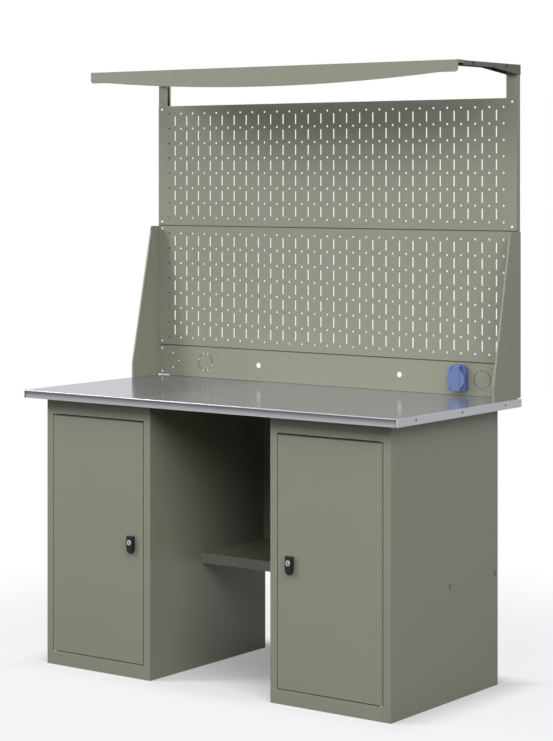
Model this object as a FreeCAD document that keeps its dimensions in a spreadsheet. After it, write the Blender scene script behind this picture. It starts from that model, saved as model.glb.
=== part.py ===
import FreeCAD, Part
import math
import os
import Sketcher

# Workbench with two cabinets, a perforated back wall and a hood.
# Frame: millimetres, +Z up, +X to the right, the front looks along -Y.
# The origin is on the floor, under the middle of the worktop.

# Each row is the name of a size, its value and what it measures.
SIZE_ROWS = [
    ("top_width", 1400, "worktop, left to right"),
    ("top_depth", 684, "worktop, front to back"),
    ("top_height", 860, "floor to worktop surface"),
    ("top_thickness", 24.4, "worktop edge"),
    ("cover_gauge", 1.2, "sheet of the worktop cover and end caps"),
    ("rim_set", 1.2, "front flange behind the worktop rim"),
    ("rim_height", 3, "rim along the top and the foot of the front flange"),
    ("rim_radius", 1, "rounding of the worktop rim"),
    ("cap_return", 4, "end cap folded round the corner"),
    ("corner_gap", 3, "open gap between front flange and end cap"),
    ("cap_screw_inset", 95, "end cap screw from the worktop ends"),
    ("cap_screw_drop", 11.5, "end cap screw below the worktop surface"),
    ("screw_shank", 4, "wood screw and sheet screw shank"),
    ("screw_fit", 0.1, "screw hole over screw shank"),
    ("cap_screw_head", 6.4, "end cap screw head"),
    ("cap_screw_dome", 0.9, "end cap screw head height"),
    ("cap_screw_length", 16, "end cap screw shank"),
    ("pan_head", 8, "pan head"),
    ("pan_dome", 2.2, "pan head height"),
    ("wood_screw_length", 12, "wood screw shank"),
    ("sheet_screw_length", 7, "sheet screw shank"),
    ("side_overhang", 54.5, "worktop end beyond the cabinet"),
    ("cabinet_recess", 48.6, "cabinet front behind the worktop front"),
    ("cabinet_width", 419, "cabinet, left to right"),
    ("cabinet_back_gap", 48.4, "cabinet back before the worktop back"),
    ("cabinet_gauge", 1.2, "cabinet sheet"),
    ("bend_radius", 1.1, "outer radius of a sheet bend"),
    ("stile_width", 25, "upright front edge of the cabinet side"),
    ("stile_depth", 19.9, "fold of the stile into the cabinet"),
    ("stop_width", 12, "door stop lip of the lock side"),
    ("back_return", 20, "fold of the cabinet side at the back"),
    ("bottom_rail", 42.5, "bottom rail height"),
    ("foot_width", 18, "folded foot of the base"),
    ("top_rail", 49, "top rail height"),
    ("rail_ledge", 20, "fold of the top rail into the cabinet"),
    ("door_gap", 2.4, "door to rail"),
    ("door_side_gap", 1.6, "door to stile"),
    ("door_depth", 18, "door pan"),
    ("pin_inset", 6, "hinge axis from the door edge"),
    ("pin_setback", 4.2, "hinge axis behind the door face"),
    ("pin_diameter", 5, "hinge pin"),
    ("pin_fit", 0.1, "hinge pin hole over hinge pin"),
    ("pin_inside", 14, "hinge pin inside the door"),
    ("pin_reach", 3, "hinge pin beyond the rail sheet"),
    ("washer_diameter", 11, "hinge washer"),
    ("washer_play", 0.2, "hinge washer under the door gap"),
    ("stiffener_web", 34, "door stiffener across its crown"),
    ("stiffener_brim", 14, "door stiffener brim"),
    ("stiffener_depth", 13, "door stiffener height over the door sheet"),
    ("stiffener_end", 40, "door stiffener end to door end"),
    ("lock_height", 414, "lock axis over the floor"),
    ("lock_inset", 46, "lock axis from the door edge"),
    ("handle_width", 27, "lock handle"),
    ("handle_above", 20, "lock handle above the lock axis"),
    ("handle_below", 34, "lock handle below the lock axis"),
    ("handle_shoulder", 16, "straight side of the lock handle below the axis"),
    ("handle_nose", 13, "radius of the lower end of the lock handle"),
    ("handle_depth", 11.5, "lock handle in front of the door"),
    ("handle_corner", 3, "upper corners of the lock handle"),
    ("handle_edge", 1.6, "rounded front edge of the lock handle"),
    ("barrel_diameter", 18, "lock barrel"),
    ("barrel_length", 17, "lock barrel behind the door face"),
    ("barrel_fit", 0.6, "door hole over lock barrel"),
    ("plug_diameter", 13, "lock cylinder inside the barrel"),
    ("plug_fit", 0.12, "barrel bore over lock cylinder"),
    ("face_diameter", 17, "lock cylinder face"),
    ("face_depth", 2.6, "lock cylinder face in front of the handle"),
    ("face_play", 0.15, "lock cylinder face off the handle"),
    ("slot_width", 2, "key slot, left to right"),
    ("slot_height", 9, "key slot"),
    ("slot_depth", 5, "key slot"),
    ("square_width", 7, "square end of the lock cylinder"),
    ("nut_width", 24, "lock nut across its flats"),
    ("nut_height", 5, "lock nut"),
    ("cam_play", 0.6, "lock cam behind the door stop lip"),
    ("cam_gauge", 2.5, "lock cam"),
    ("cam_width", 16, "lock cam"),
    ("cam_reach", 42, "lock cam, axis to tip"),
    ("cabinet_shelf_height", 420, "surface of the shelf in the cabinet"),
    ("shelf_lip", 20, "folded edge of the shelf in the cabinet"),
    ("shelf_setback", 50, "shelf behind the cabinet front"),
    ("shelf_play", 1, "shelf to cabinet sheet"),
    ("clip_width", 24, "shelf clip"),
    ("clip_leg", 16, "shelf clip, height and ledge"),
    ("clip_gauge", 1.5, "shelf clip sheet"),
    ("clip_inset", 60, "shelf clip from the shelf ends"),
    ("plug_cap", 15, "side plug"),
    ("plug_cap_depth", 1, "side plug outside the sheet"),
    ("plug_stem", 9.6, "side plug in its hole"),
    ("plug_hole", 10, "hole for side plug"),
    ("plug_stem_length", 6, "side plug inside the cabinet"),
    ("middle_shelf_height", 354.5, "surface of the middle shelf"),
    ("middle_shelf_lip", 31.5, "folded edge of the middle shelf"),
    ("middle_shelf_front", 301, "middle shelf behind the worktop front"),
    ("knee_panel_inset", 10, "knee panel before the cabinet back"),
    ("bolt_drop", 17.5, "side plugs and shelf bolts below the middle shelf surface"),
    ("bolt_front_inset", 61, "front bolt behind the middle shelf front"),
    ("bolt_back_inset", 15, "back bolt before the middle shelf back"),
    ("bolt_diameter", 6, "shelf bolt"),
    ("bolt_head", 12, "shelf bolt head"),
    ("bolt_head_height", 3.4, "shelf bolt head"),
    ("bolt_length", 12, "shelf bolt shank"),
    ("bolt_nut_width", 10, "shelf nut across its flats"),
    ("bolt_nut_height", 5, "shelf nut"),
    ("wall_setback", 3.6, "back of the posts and side plates before the worktop back"),
    ("post_gauge", 1.5, "post sheet"),
    ("post_width", 38, "post, left to right"),
    ("post_depth", 17.6, "post, front to back"),
    ("post_lip", 8, "fold at the back edge of the post"),
    ("post_gap", 3.2, "post and strip ends over the worktop"),
    ("plate_gauge", 1.8, "side plate sheet"),
    ("plate_depth", 156.4, "side plate at its foot, front to back"),
    ("plate_straight", 50, "upright part of the side plate front edge"),
    ("plate_height", 503.5, "side plate over the worktop"),
    ("plate_top_depth", 57.8, "side plate at its top, front to back"),
    ("plate_flange", 6, "folded front edge of the side plate"),
    ("plate_corner", 6, "rounded top corner of the side plate"),
    ("tab_width", 30, "side plate tab"),
    ("tab_depth", 20, "side plate tab below the worktop surface"),
    ("tab_front_inset", 22, "front tab behind the side plate front edge"),
    ("tab_back_inset", 22, "back tab before the side plate back edge"),
    ("tab_play", 0.3, "tab in its recess"),
    ("panel_gauge", 1.2, "back wall sheet"),
    ("panel_play", 0.4, "back wall sheets to side plates"),
    ("panel_height", 402, "perforated panel"),
    ("panel_corner", 4, "rounded corners of a perforated panel"),
    ("panel_seam", 0.4, "gap between the back wall sheets"),
    ("panel_fold", 14, "folded long edges of the back wall sheets"),
    ("fold_play", 8, "folded edges to the posts"),
    ("strip_height", 102.5, "socket strip"),
    ("strip_foot", 0.3, "socket strip over the worktop"),
    ("hole_pitch", 50, "perforation, both ways"),
    ("hole_margin", 25.8, "first hole row from the panel edge"),
    ("hole_edge", 40, "least distance of a hole column from the outer face of the post"),
    ("hole_diameter", 6.5, "round perforation"),
    ("hook_slot", 4.5, "width of a slotted perforation"),
    ("slot_length", 33, "slotted perforation"),
    ("corner_screw_edge", 17, "back wall screw from the outer face of the post"),
    ("corner_screw_inset", 12, "back wall screw from the sheet edge"),
    ("cable_hole", 18, "plain round hole in the socket strip"),
    ("cable_hole_place", 274.5, "plain round hole from the middle"),
    ("strip_axis", 52, "holes of the socket strip over the worktop"),
    ("knockout_diameter", 57, "pressed-in disc of the socket strip"),
    ("knockout_slit", 0.6, "slit round the pressed-in disc"),
    ("left_knockout_inset", 204.5, "left disc from the left end of the worktop"),
    ("right_knockout_inset", 124, "right disc from the right end of the worktop"),
    ("star_inset", 66.5, "four small holes from the left end of the worktop"),
    ("star_radius", 24.5, "four small holes from their centre"),
    ("star_hole", 5, "one of the four small holes"),
    ("socket_inset", 204.4, "socket from the right end of the worktop"),
    ("socket_rise", 50.5, "middle of the socket face over the worktop"),
    ("socket_width", 61, "socket housing"),
    ("socket_above", 44, "socket housing above its middle"),
    ("socket_below", 35, "socket housing below its middle"),
    ("socket_depth", 16, "socket housing in front of the strip"),
    ("socket_shoulder", 20, "upper corners of the socket housing"),
    ("socket_corner", 4, "lower corners of the socket housing"),
    ("socket_edge", 1.5, "rounded front edge of the housing and lid"),
    ("earth_gap", 1.2, "earth clip inside the rim of the contact carrier"),
    ("socket_well", 43, "round well of the socket"),
    ("well_play", 0.6, "well and strip hole over the contact carrier"),
    ("well_depth", 12, "front of the housing to the contact carrier"),
    ("insert_depth", 19, "contact carrier, through the strip"),
    ("contact_spacing", 19, "contact holes"),
    ("contact_hole", 6, "contact hole"),
    ("contact_wall", 0.5, "contact sleeve wall"),
    ("contact_length", 15, "contact sleeve"),
    ("earth_width", 6, "earth clip"),
    ("earth_gauge", 1.2, "earth clip"),
    ("earth_length", 9, "earth clip in front of the carrier"),
    ("lid_diameter", 61, "socket lid"),
    ("lid_depth", 8.6, "socket lid"),
    ("lid_play", 0.3, "socket lid off the housing"),
    ("lid_tab", 31, "straight part of the lid at hinge and clasp"),
    ("lid_clasp", 34.5, "clasp end of the lid below its middle"),
    ("lid_ridge_width", 28, "raised band down the front of the lid"),
    ("lid_ridge", 1.8, "height of the raised band"),
    ("hinge_rise", 39, "lid hinge above the middle of the socket"),
    ("knuckle_diameter", 8.6, "lid hinge barrel"),
    ("knuckle_width", 21, "lid hinge barrel on the lid"),
    ("ear_width", 4.6, "hinge ear of the housing"),
    ("lid_pin", 3, "lid hinge pin"),
    ("lid_pin_fit", 0.1, "hole over lid hinge pin"),
    ("lid_hollow", 46, "hollow inside the lid"),
    ("lid_skin", 2, "front wall of the lid"),
    ("socket_screw_spacing", 37, "socket screws, both ways"),
    ("socket_screw_head", 6, "socket screw head"),
    ("socket_screw_sink", 3, "socket screw heads below the front of the housing"),
    ("socket_screw_play", 0.6, "sunk hole over the socket screw head"),
    ("socket_screw_length", 16, "socket screw shank"),
    ("hood_rise", 1008.6, "top of the hood over the worktop"),
    ("hood_reach", 362, "hood front before the back of the posts"),
    ("roof_depth", 220, "top sheet of the hood, front to back"),
    ("roof_inset", 26, "side edge of the top sheet inside the worktop end"),
    ("hood_gauge", 1.2, "hood sheet"),
    ("hood_lip", 35.6, "hood front lip at its ends"),
    ("hood_belly", 62, "hood front lip in the middle"),
    ("hood_straight", 64, "straight ends of the hood front lip"),
    ("hood_corner", 10, "lower corners of the hood front lip"),
    ("hood_tab", 30, "side tab and full width part of the top sheet, front to back"),
    ("hood_tab_height", 9.5, "side tab of the hood"),
    ("hood_screw_inset", 34.5, "hood screws inside the worktop end"),
    ("arm_gauge", 1.5, "hood arm sheet"),
    ("arm_play", 0.2, "hood arm over the post"),
    ("arm_front_height", 14, "hood arm at its front"),
    ("arm_back_height", 31, "hood arm at its back"),
    ("arm_straight", 171, "straight front part of the hood arm"),
    ("arm_hole", 5, "hole in the hood arm"),
    ("arm_hole_drop", 7.5, "hole in the hood arm below its top"),
    ("arm_hole_front_inset", 56.5, "front arm hole behind the arm front"),
    ("arm_hole_back_inset", 84, "back arm hole before the arm back"),
    ("overrun", 5, "cutting tools beyond the material"),
]

HOLE_ROWS = 8
KNOCKOUT_ARCS = 4
STAR_HOLES = 4
NUT_SIDES = 6
# Part of a quarter turn that the slit round a pressed-in disc leaves as a bridge.
BRIDGE_SHARE = 0.12
# Places along the worktop of the end cap screws, as shares of the length between the outer two.
CAP_SCREW_SHARES = (0, 0.5, 1)
# Places of the wood screws: along the socket strip fold, and front to back in a cabinet top.
STRIP_SCREW_SHARES = (-0.9, -0.3, 0.3, 0.9)
CABINET_SCREW_SHARES = (0.2, 0.8)
# Places of the hood screws along the hood arms.
HOOD_SCREW_SHARES = (0.2, 0.85)
# Screw heads: the flat crown across the head, and the height of the rim in the dome.
CROWN_SHARE = 0.72
RIM_SHARE = 0.35
# Part of the leaning edge of a side plate that its fold runs along.
FLANGE_SHARE = 0.97
TOLERANCE = 1e-4

document = FreeCAD.newDocument("Workbench")
sheet = document.addObject("Spreadsheet::Sheet", "Sizes")


class Size:
    """A length: the expression that gives it from the sheet, and its present value."""

    def __init__(self, text, value):
        self.text = text
        self.value = float(value)

    def __add__(self, other):
        other = as_size(other)
        return Size(f"({self.text} + {other.text})", self.value + other.value)

    def __sub__(self, other):
        other = as_size(other)
        return Size(f"({self.text} - {other.text})", self.value - other.value)

    def __mul__(self, factor):
        return Size(f"{self.text} * ({factor})", self.value * factor)

    def __truediv__(self, divisor):
        return Size(f"{self.text} / {divisor}", self.value / divisor)

    def __neg__(self):
        return self * -1

    __rmul__ = __mul__


def as_size(number):
    """A plain number, such as zero, as a size."""
    return number if isinstance(number, Size) else Size(str(number), number)


def read_sizes():
    """Fill the sheet and return every size under its name."""
    for row, (name, value, meaning) in enumerate(SIZE_ROWS, start=1):
        sheet.set(f"A{row}", meaning)
        sheet.set(f"B{row}", str(value))
        sheet.setAlias(f"B{row}", name)
    document.recompute()
    return {name: Size(f"Sizes.{name}", getattr(sheet, name)) for name, value, meaning in SIZE_ROWS}


class SizeNames:
    """The sizes of the sheet as attributes."""

    def __init__(self, sizes):
        self.__dict__.update(sizes)


s = SizeNames(read_sizes())
ZERO = Size("0", 0)

# Places that several pieces share.
front = -s.top_depth / 2
back = s.top_depth / 2
half_width = s.top_width / 2
under_top = s.top_height - s.top_thickness
cabinet_front = front + s.cabinet_recess
cabinet_back = back - s.cabinet_back_gap
cabinet_depth = cabinet_back - cabinet_front
cabinet_outer = half_width - s.side_overhang
cabinet_inner = cabinet_outer - s.cabinet_width
door_width = s.cabinet_width - 2 * (s.stile_width + s.door_side_gap)
door_bottom = s.bottom_rail + s.door_gap
door_top = under_top - s.top_rail - s.door_gap
door_height = door_top - door_bottom
hinge_x = cabinet_outer - s.stile_width - s.door_side_gap - s.pin_inset
hinge_y = cabinet_front + s.pin_setback
lock_x = cabinet_inner + s.stile_width + s.door_side_gap + s.lock_inset
wall_back = back - s.wall_setback
post_face = wall_back - s.post_depth
panel_face = post_face - s.panel_gauge
post_outer = half_width - s.cover_gauge - s.plate_gauge
post_inner = post_outer - s.post_width
strip_top = s.top_height + s.strip_foot + s.strip_height
lower_bottom = strip_top + s.panel_seam
upper_bottom = lower_bottom + s.panel_height + s.panel_seam
strip_hole_z = s.top_height + s.strip_axis
fold_end = post_inner - s.fold_play
hole_columns = 1 + 2 * int((post_outer - s.hole_edge).value / s.hole_pitch.value)
hole_span = s.hole_pitch * (hole_columns - 1) / 2
plate_front = wall_back - s.plate_depth
middle_shelf_front = front + s.middle_shelf_front
middle_shelf_back = cabinet_back - s.cabinet_gauge
bolt_z = s.middle_shelf_height - s.bolt_drop
bolt_ys = [middle_shelf_front + s.bolt_front_inset, middle_shelf_back - s.bolt_back_inset]
tab_fronts = [plate_front + s.tab_front_inset, wall_back - s.tab_back_inset - s.tab_width]
hood_front = wall_back - s.hood_reach
socket_x = half_width - s.socket_inset
hood_top = s.top_height + s.hood_rise
arm_top = hood_top - s.hood_gauge
post_top = arm_top - s.arm_gauge
socket_z = s.top_height + s.socket_rise
parts = []


class Through:
    """The middle point of an arc between two corners of an outline."""

    def __init__(self, a, b):
        self.point = (a, b)


class Circle:
    """A round outline."""

    def __init__(self, a, b, diameter):
        self.centre = (a, b)
        self.diameter = diameter


def rectangle(a0, b0, a1, b1):
    """The corners of a rectangle from two opposite ones."""
    return [(a0, b0), (a1, b0), (a1, b1), (a0, b1)]


# Origin plane of each axis, sign of its offset, and whether a pad has to be turned to go along the axis.
PLANES = {"x": ("YZ_Plane", 1, False), "y": ("XZ_Plane", -1, True), "z": ("XY_Plane", 1, False)}


def flat(a, b):
    """A point of a sketch."""
    return FreeCAD.Vector(as_size(a).value, as_size(b).value, 0)


class Piece:
    """A sub-part: a body whose sketches lie square to its axes."""

    def __init__(self, label, x=ZERO, y=ZERO, z=ZERO):
        self.body = document.addObject("PartDesign::Body", label)
        self.body.Label = label
        for axis, place in zip("xyz", (x, y, z)):
            self.body.setExpression(f"Placement.Base.{axis}", as_size(place).text)
        parts.append(self.body)

    def sketch(self, axis, start, loops):
        """A sketch square to an axis, with every point tied to the sheet."""
        role, sign, turned = PLANES[axis]
        sketch = self.body.newObject("Sketcher::SketchObject", "Outline")
        plane = next(item for item in self.body.Origin.OriginFeatures if item.Role == role)
        sketch.AttachmentSupport = (plane, [""])
        sketch.MapMode = "FlatFace"
        sketch.setExpression("AttachmentOffset.Base.z", (sign * as_size(start)).text)
        for loop in loops:
            if isinstance(loop, Circle):
                add_circle(sketch, loop)
            else:
                add_outline(sketch, loop)
        return sketch

    def pad(self, axis, start, length, *loops):
        """Add material from a place on the axis, over a length."""
        sketch = self.sketch(axis, start, loops)
        pad = self.body.newObject("PartDesign::Pad", "Pad")
        pad.Profile = sketch
        pad.setExpression("Length", as_size(length).text)
        pad.Reversed = PLANES[axis][2]
        return self

    def cut(self, axis, start, length, *loops):
        """Take material away from a place on the axis, over a length."""
        sketch = self.sketch(axis, start, loops)
        pocket = self.body.newObject("PartDesign::Pocket", "Pocket")
        pocket.Profile = sketch
        pocket.setExpression("Length", as_size(length).text)
        pocket.Reversed = not PLANES[axis][2]
        return self

    def round(self, radius, *picks):
        """Round the straight or curved edges that lie at the given places."""
        document.recompute()
        base = self.body.Tip
        names = []
        for number, edge in enumerate(base.Shape.Edges, start=1):
            if any(edge_lies(edge, pick) for pick in picks):
                names.append(f"Edge{number}")
        if not names:
            raise ValueError(f"no edge to round on {self.body.Label}")
        fillet = self.body.newObject("PartDesign::Fillet", "Fillet")
        fillet.Base = (base, names)
        fillet.setExpression("Radius", radius.text)
        return self


def edge_lies(edge, pick):
    """Whether an edge keeps the coordinates that the pick gives, all along."""
    first, last = edge.ParameterRange
    points = [edge.valueAt(first + share * (last - first)) for share in (0, 0.5, 1)]
    for axis, place in pick.items():
        wanted = as_size(place).value
        if any(abs(getattr(point, axis) - wanted) > TOLERANCE for point in points):
            return False
    return True


def tie_point(sketch, geometry, position, point):
    """Tie one point of a sketch to the sheet."""
    for kind, place in zip(("DistanceX", "DistanceY"), point):
        place = as_size(place)
        number = sketch.addConstraint(Sketcher.Constraint(kind, -1, 1, geometry, position, place.value))
        sketch.setExpression(f"Constraints[{number}]", place.text)


def add_circle(sketch, circle):
    """A circle with its centre and diameter tied to the sheet."""
    shape = Part.Circle(flat(*circle.centre), FreeCAD.Vector(0, 0, 1), circle.diameter.value / 2)
    geometry = sketch.addGeometry(shape, False)
    tie_point(sketch, geometry, 3, circle.centre)
    number = sketch.addConstraint(Sketcher.Constraint("Diameter", geometry, circle.diameter.value))
    sketch.setExpression(f"Constraints[{number}]", circle.diameter.text)


def add_outline(sketch, points):
    """A closed outline of lines, and of arcs where a Through point stands between corners."""
    corners = []
    ends = []
    for number, corner in enumerate(points):
        if isinstance(corner, Through):
            continue
        corners.append(corner)
        following = points[(number + 1) % len(points)]
        start, end = 1, 2
        if isinstance(following, Through):
            middle = following.point
            following = points[(number + 2) % len(points)]
            arc = Part.Arc(flat(*corner), flat(*middle), flat(*following))
            geometry = sketch.addGeometry(arc, False)
            if (sketch.getPoint(geometry, start) - flat(*corner)).Length > TOLERANCE:
                start, end = end, start
            mark = sketch.addGeometry(Part.Point(flat(*middle)), True)
            sketch.addConstraint(Sketcher.Constraint("PointOnObject", mark, 1, geometry))
            tie_point(sketch, mark, 1, middle)
        else:
            geometry = sketch.addGeometry(Part.LineSegment(flat(*corner), flat(*following)), False)
        ends.append((geometry, start, end))
    for number, (geometry, start, end) in enumerate(ends):
        next_geometry, next_start, next_end = ends[(number + 1) % len(ends)]
        sketch.addConstraint(Sketcher.Constraint("Coincident", geometry, end, next_geometry, next_start))
    for corner, (geometry, start, end) in zip(corners, ends):
        tie_point(sketch, geometry, start, corner)


def group(label, solids, x=ZERO, y=ZERO, z=ZERO):
    """One node of like solids, placed as a whole."""
    feature = document.addObject("Part::Feature", label)
    feature.Label = label
    feature.Shape = Part.makeCompound(solids)
    for axis, place in zip("xyz", (x, y, z)):
        feature.setExpression(f"Placement.Base.{axis}", as_size(place).text)
    parts.append(feature)


def vector(x, y, z):
    """A point in space from three sizes."""
    return FreeCAD.Vector(*(as_size(part).value for part in (x, y, z)))


AXES = {"x": FreeCAD.Vector(1, 0, 0), "y": FreeCAD.Vector(0, 1, 0), "z": FreeCAD.Vector(0, 0, 1)}


def turned(outline, place, direction):
    """A solid of revolution: radius and distance pairs round an axis that starts at a place."""
    points = [FreeCAD.Vector(as_size(radius).value, 0, as_size(along).value) for radius, along in outline]
    face = Part.Face(Part.makePolygon(points + points[:1]))
    solid = face.revolve(FreeCAD.Vector(0, 0, 0), FreeCAD.Vector(0, 0, 1), 360)
    solid.Placement = FreeCAD.Placement(place, FreeCAD.Rotation(FreeCAD.Vector(0, 0, 1), direction))
    return solid


def domed_screw(head, dome, shank, length, place, direction):
    """A screw whose head rests at a place and whose shank runs against the direction."""
    crown = head * CROWN_SHARE
    outline = [(ZERO, -length), (shank / 2, -length), (shank / 2, ZERO), (head / 2, ZERO)]
    outline += [(head / 2, dome * RIM_SHARE), (crown / 2, dome), (ZERO, dome)]
    return turned(outline, place, direction)


def sheet_screw(place, direction):
    """A pan head screw for thin sheet."""
    return domed_screw(s.pan_head, s.pan_dome, s.screw_shank, s.sheet_screw_length, place, direction)


def wood_screw(place, direction):
    """A pan head screw for the worktop board."""
    return domed_screw(s.pan_head, s.pan_dome, s.screw_shank, s.wood_screw_length, place, direction)


def hexagon(width, height, bore, place, direction):
    """A nut from its width across flats, with a plain bore."""
    radius = width.value / 2 / math.cos(math.pi / NUT_SIDES)
    points = []
    for corner in range(NUT_SIDES):
        angle = 2 * math.pi * corner / NUT_SIDES
        points.append(FreeCAD.Vector(radius * math.cos(angle), radius * math.sin(angle), 0))
    nut = Part.Face(Part.makePolygon(points + points[:1])).extrude(FreeCAD.Vector(0, 0, height.value))
    nut = nut.cut(Part.makeCylinder(bore.value / 2, height.value))
    nut.Placement = FreeCAD.Placement(place, FreeCAD.Rotation(FreeCAD.Vector(0, 0, 1), direction))
    return nut


def cap_screw_ys():
    """The places front to back of the screws in a worktop end cap."""
    span = s.top_depth - 2 * s.cap_screw_inset
    return [front + s.cap_screw_inset + share * span for share in CAP_SCREW_SHARES]


def strip_screws():
    """The places of the wood screws that hold the socket strip fold on the worktop."""
    y = post_face + s.panel_fold / 2
    z = s.top_height + s.strip_foot + s.panel_gauge
    return [(share * fold_end, y, z) for share in STRIP_SCREW_SHARES]


def cabinet_screws():
    """The places of the wood screws that hold the cabinets under the worktop."""
    places = []
    for side in (-1, 1):
        for x_share in CABINET_SCREW_SHARES:
            for y_share in CABINET_SCREW_SHARES:
                x = side * (cabinet_inner + x_share * s.cabinet_width)
                y = cabinet_front + y_share * cabinet_depth
                places.append((x, y, under_top - s.cabinet_gauge))
    return places


def make_worktop():
    """The board, its sheet cover, the two end caps and their screws."""
    hole = s.screw_shank + s.screw_fit
    board_end = half_width - s.cover_gauge
    board_front = front + s.rim_set + s.cover_gauge
    board_back = back - s.cover_gauge
    board_top = s.top_height - s.cover_gauge
    board = Piece("worktop_board", z=under_top)
    thickness = s.top_thickness - s.cover_gauge
    board.pad("z", ZERO, thickness, rectangle(-board_end, board_front, board_end, board_back))
    recess = s.plate_gauge + s.tab_play
    for side in (-1, 1):
        outlines = []
        for y in tab_fronts:
            low, high = y - s.tab_play, y + s.tab_width + s.tab_play
            outlines.append(rectangle(side * (board_end - recess), low, side * (board_end + s.overrun), high))
        depth = s.tab_depth + s.tab_play - s.cover_gauge
        board.cut("z", thickness - depth, depth + s.overrun, *outlines)
        screws = [Circle(y, thickness + s.cover_gauge - s.cap_screw_drop, hole) for y in cap_screw_ys()]
        length = s.cap_screw_length
        start = board_end - length if side > 0 else -board_end - s.overrun
        board.cut("x", start, length + s.overrun, *screws)
    fold_holes = [Circle(x, y, hole) for x, y, z in strip_screws()]
    board.cut("z", thickness - s.wood_screw_length, s.wood_screw_length + s.overrun, *fold_holes)
    top_holes = [Circle(x, y, hole) for x, y, z in cabinet_screws()]
    board.cut("z", -s.overrun, s.wood_screw_length + s.overrun, *top_holes)

    cover = Piece("worktop_cover", y=front, z=s.top_height)
    inner = s.rim_set + s.cover_gauge
    section = [
        (ZERO, ZERO), (s.top_depth, ZERO), (s.top_depth, -s.top_thickness),
        (s.top_depth - s.cover_gauge, -s.top_thickness), (s.top_depth - s.cover_gauge, -s.cover_gauge),
        (inner, -s.cover_gauge), (inner, -s.top_thickness), (ZERO, -s.top_thickness),
        (ZERO, s.rim_height - s.top_thickness), (s.rim_set, s.rim_height - s.top_thickness),
        (s.rim_set, -s.rim_height), (ZERO, -s.rim_height),
    ]
    cover.pad("x", -board_end, 2 * board_end, section)
    corner = s.cap_return + s.corner_gap
    for side in (-1, 1):
        near, far = side * (half_width - corner), side * (half_width + s.overrun)
        outlines = [rectangle(near, -s.overrun, far, inner),
                    rectangle(near, s.top_depth - s.cover_gauge, far, s.top_depth + s.overrun)]
        cover.cut("z", -s.top_thickness - s.overrun, s.top_thickness - s.cover_gauge + s.overrun, *outlines)
        notches = []
        for y in tab_fronts:
            low, high = y - front - s.tab_play, y - front + s.tab_width + s.tab_play
            notches.append(rectangle(side * (board_end - recess), low, side * (board_end + s.overrun), high))
        cover.cut("z", -s.overrun, 2 * s.overrun, *notches)
    holes = [Circle(x, y - front, hole) for x, y, z in strip_screws()]
    cover.cut("z", -s.overrun, 2 * s.overrun, *holes)
    cover.round(s.rim_radius, {"y": ZERO, "z": ZERO})

    screws = []
    for side, name in ((-1, "left"), (1, "right")):
        cap = Piece(f"worktop_end_cap_{name}", x=side * half_width, y=front, z=s.top_height)
        sheet_edge = -side * s.cover_gauge
        fold_edge = -side * s.cap_return
        inside_back = s.top_depth - s.cover_gauge
        outline = [(ZERO, ZERO), (ZERO, s.top_depth), (fold_edge, s.top_depth), (fold_edge, inside_back),
                   (sheet_edge, inside_back), (sheet_edge, s.cover_gauge), (fold_edge, s.cover_gauge),
                   (fold_edge, ZERO)]
        cap.pad("z", -s.top_thickness, s.top_thickness, outline)
        inside = -side * (s.cap_return + s.overrun)
        outlines = [rectangle(sheet_edge, -s.overrun, inside, s.cap_return),
                    rectangle(sheet_edge, s.top_depth - s.cap_return, inside, s.top_depth + s.overrun)]
        cap.cut("z", -s.cover_gauge - s.panel_play, s.cover_gauge + s.overrun, *outlines)
        holes = [Circle(y - front, -s.cap_screw_drop, hole) for y in cap_screw_ys()]
        cap.cut("x", -s.overrun, 2 * s.overrun, *holes)
        cap.round(s.rim_radius, {"x": ZERO, "y": ZERO}, {"x": ZERO, "y": s.top_depth})
        for y in cap_screw_ys():
            place = vector(side * half_width, y, s.top_height - s.cap_screw_drop)
            screws.append(domed_screw(s.cap_screw_head, s.cap_screw_dome, s.screw_shank,
                                      s.cap_screw_length, place, AXES["x"] * side))
    group("end_cap_screws", screws)


def make_cabinet_side(label, x, side, with_stop):
    """A cabinet side with its stile: the fold runs in the given direction from its outer face."""
    inward = -side
    g = s.cabinet_gauge
    piece = Piece(label, x=x, y=cabinet_front)
    section = [
        (ZERO, ZERO), (inward * s.stile_width, ZERO), (inward * s.stile_width, s.stile_depth),
        (inward * (s.stile_width - g), s.stile_depth), (inward * (s.stile_width - g), g), (inward * g, g),
        (inward * g, cabinet_depth - g), (inward * s.back_return, cabinet_depth - g),
        (inward * s.back_return, cabinet_depth), (ZERO, cabinet_depth),
    ]
    piece.pad("z", ZERO, under_top, section)
    if with_stop:
        low, high = s.stile_depth - g, s.stile_depth
        stop = rectangle(inward * (s.stile_width - g), low, inward * (s.stile_width + s.stop_width), high)
        piece.pad("z", door_bottom, door_height, stop)
    return piece


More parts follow.
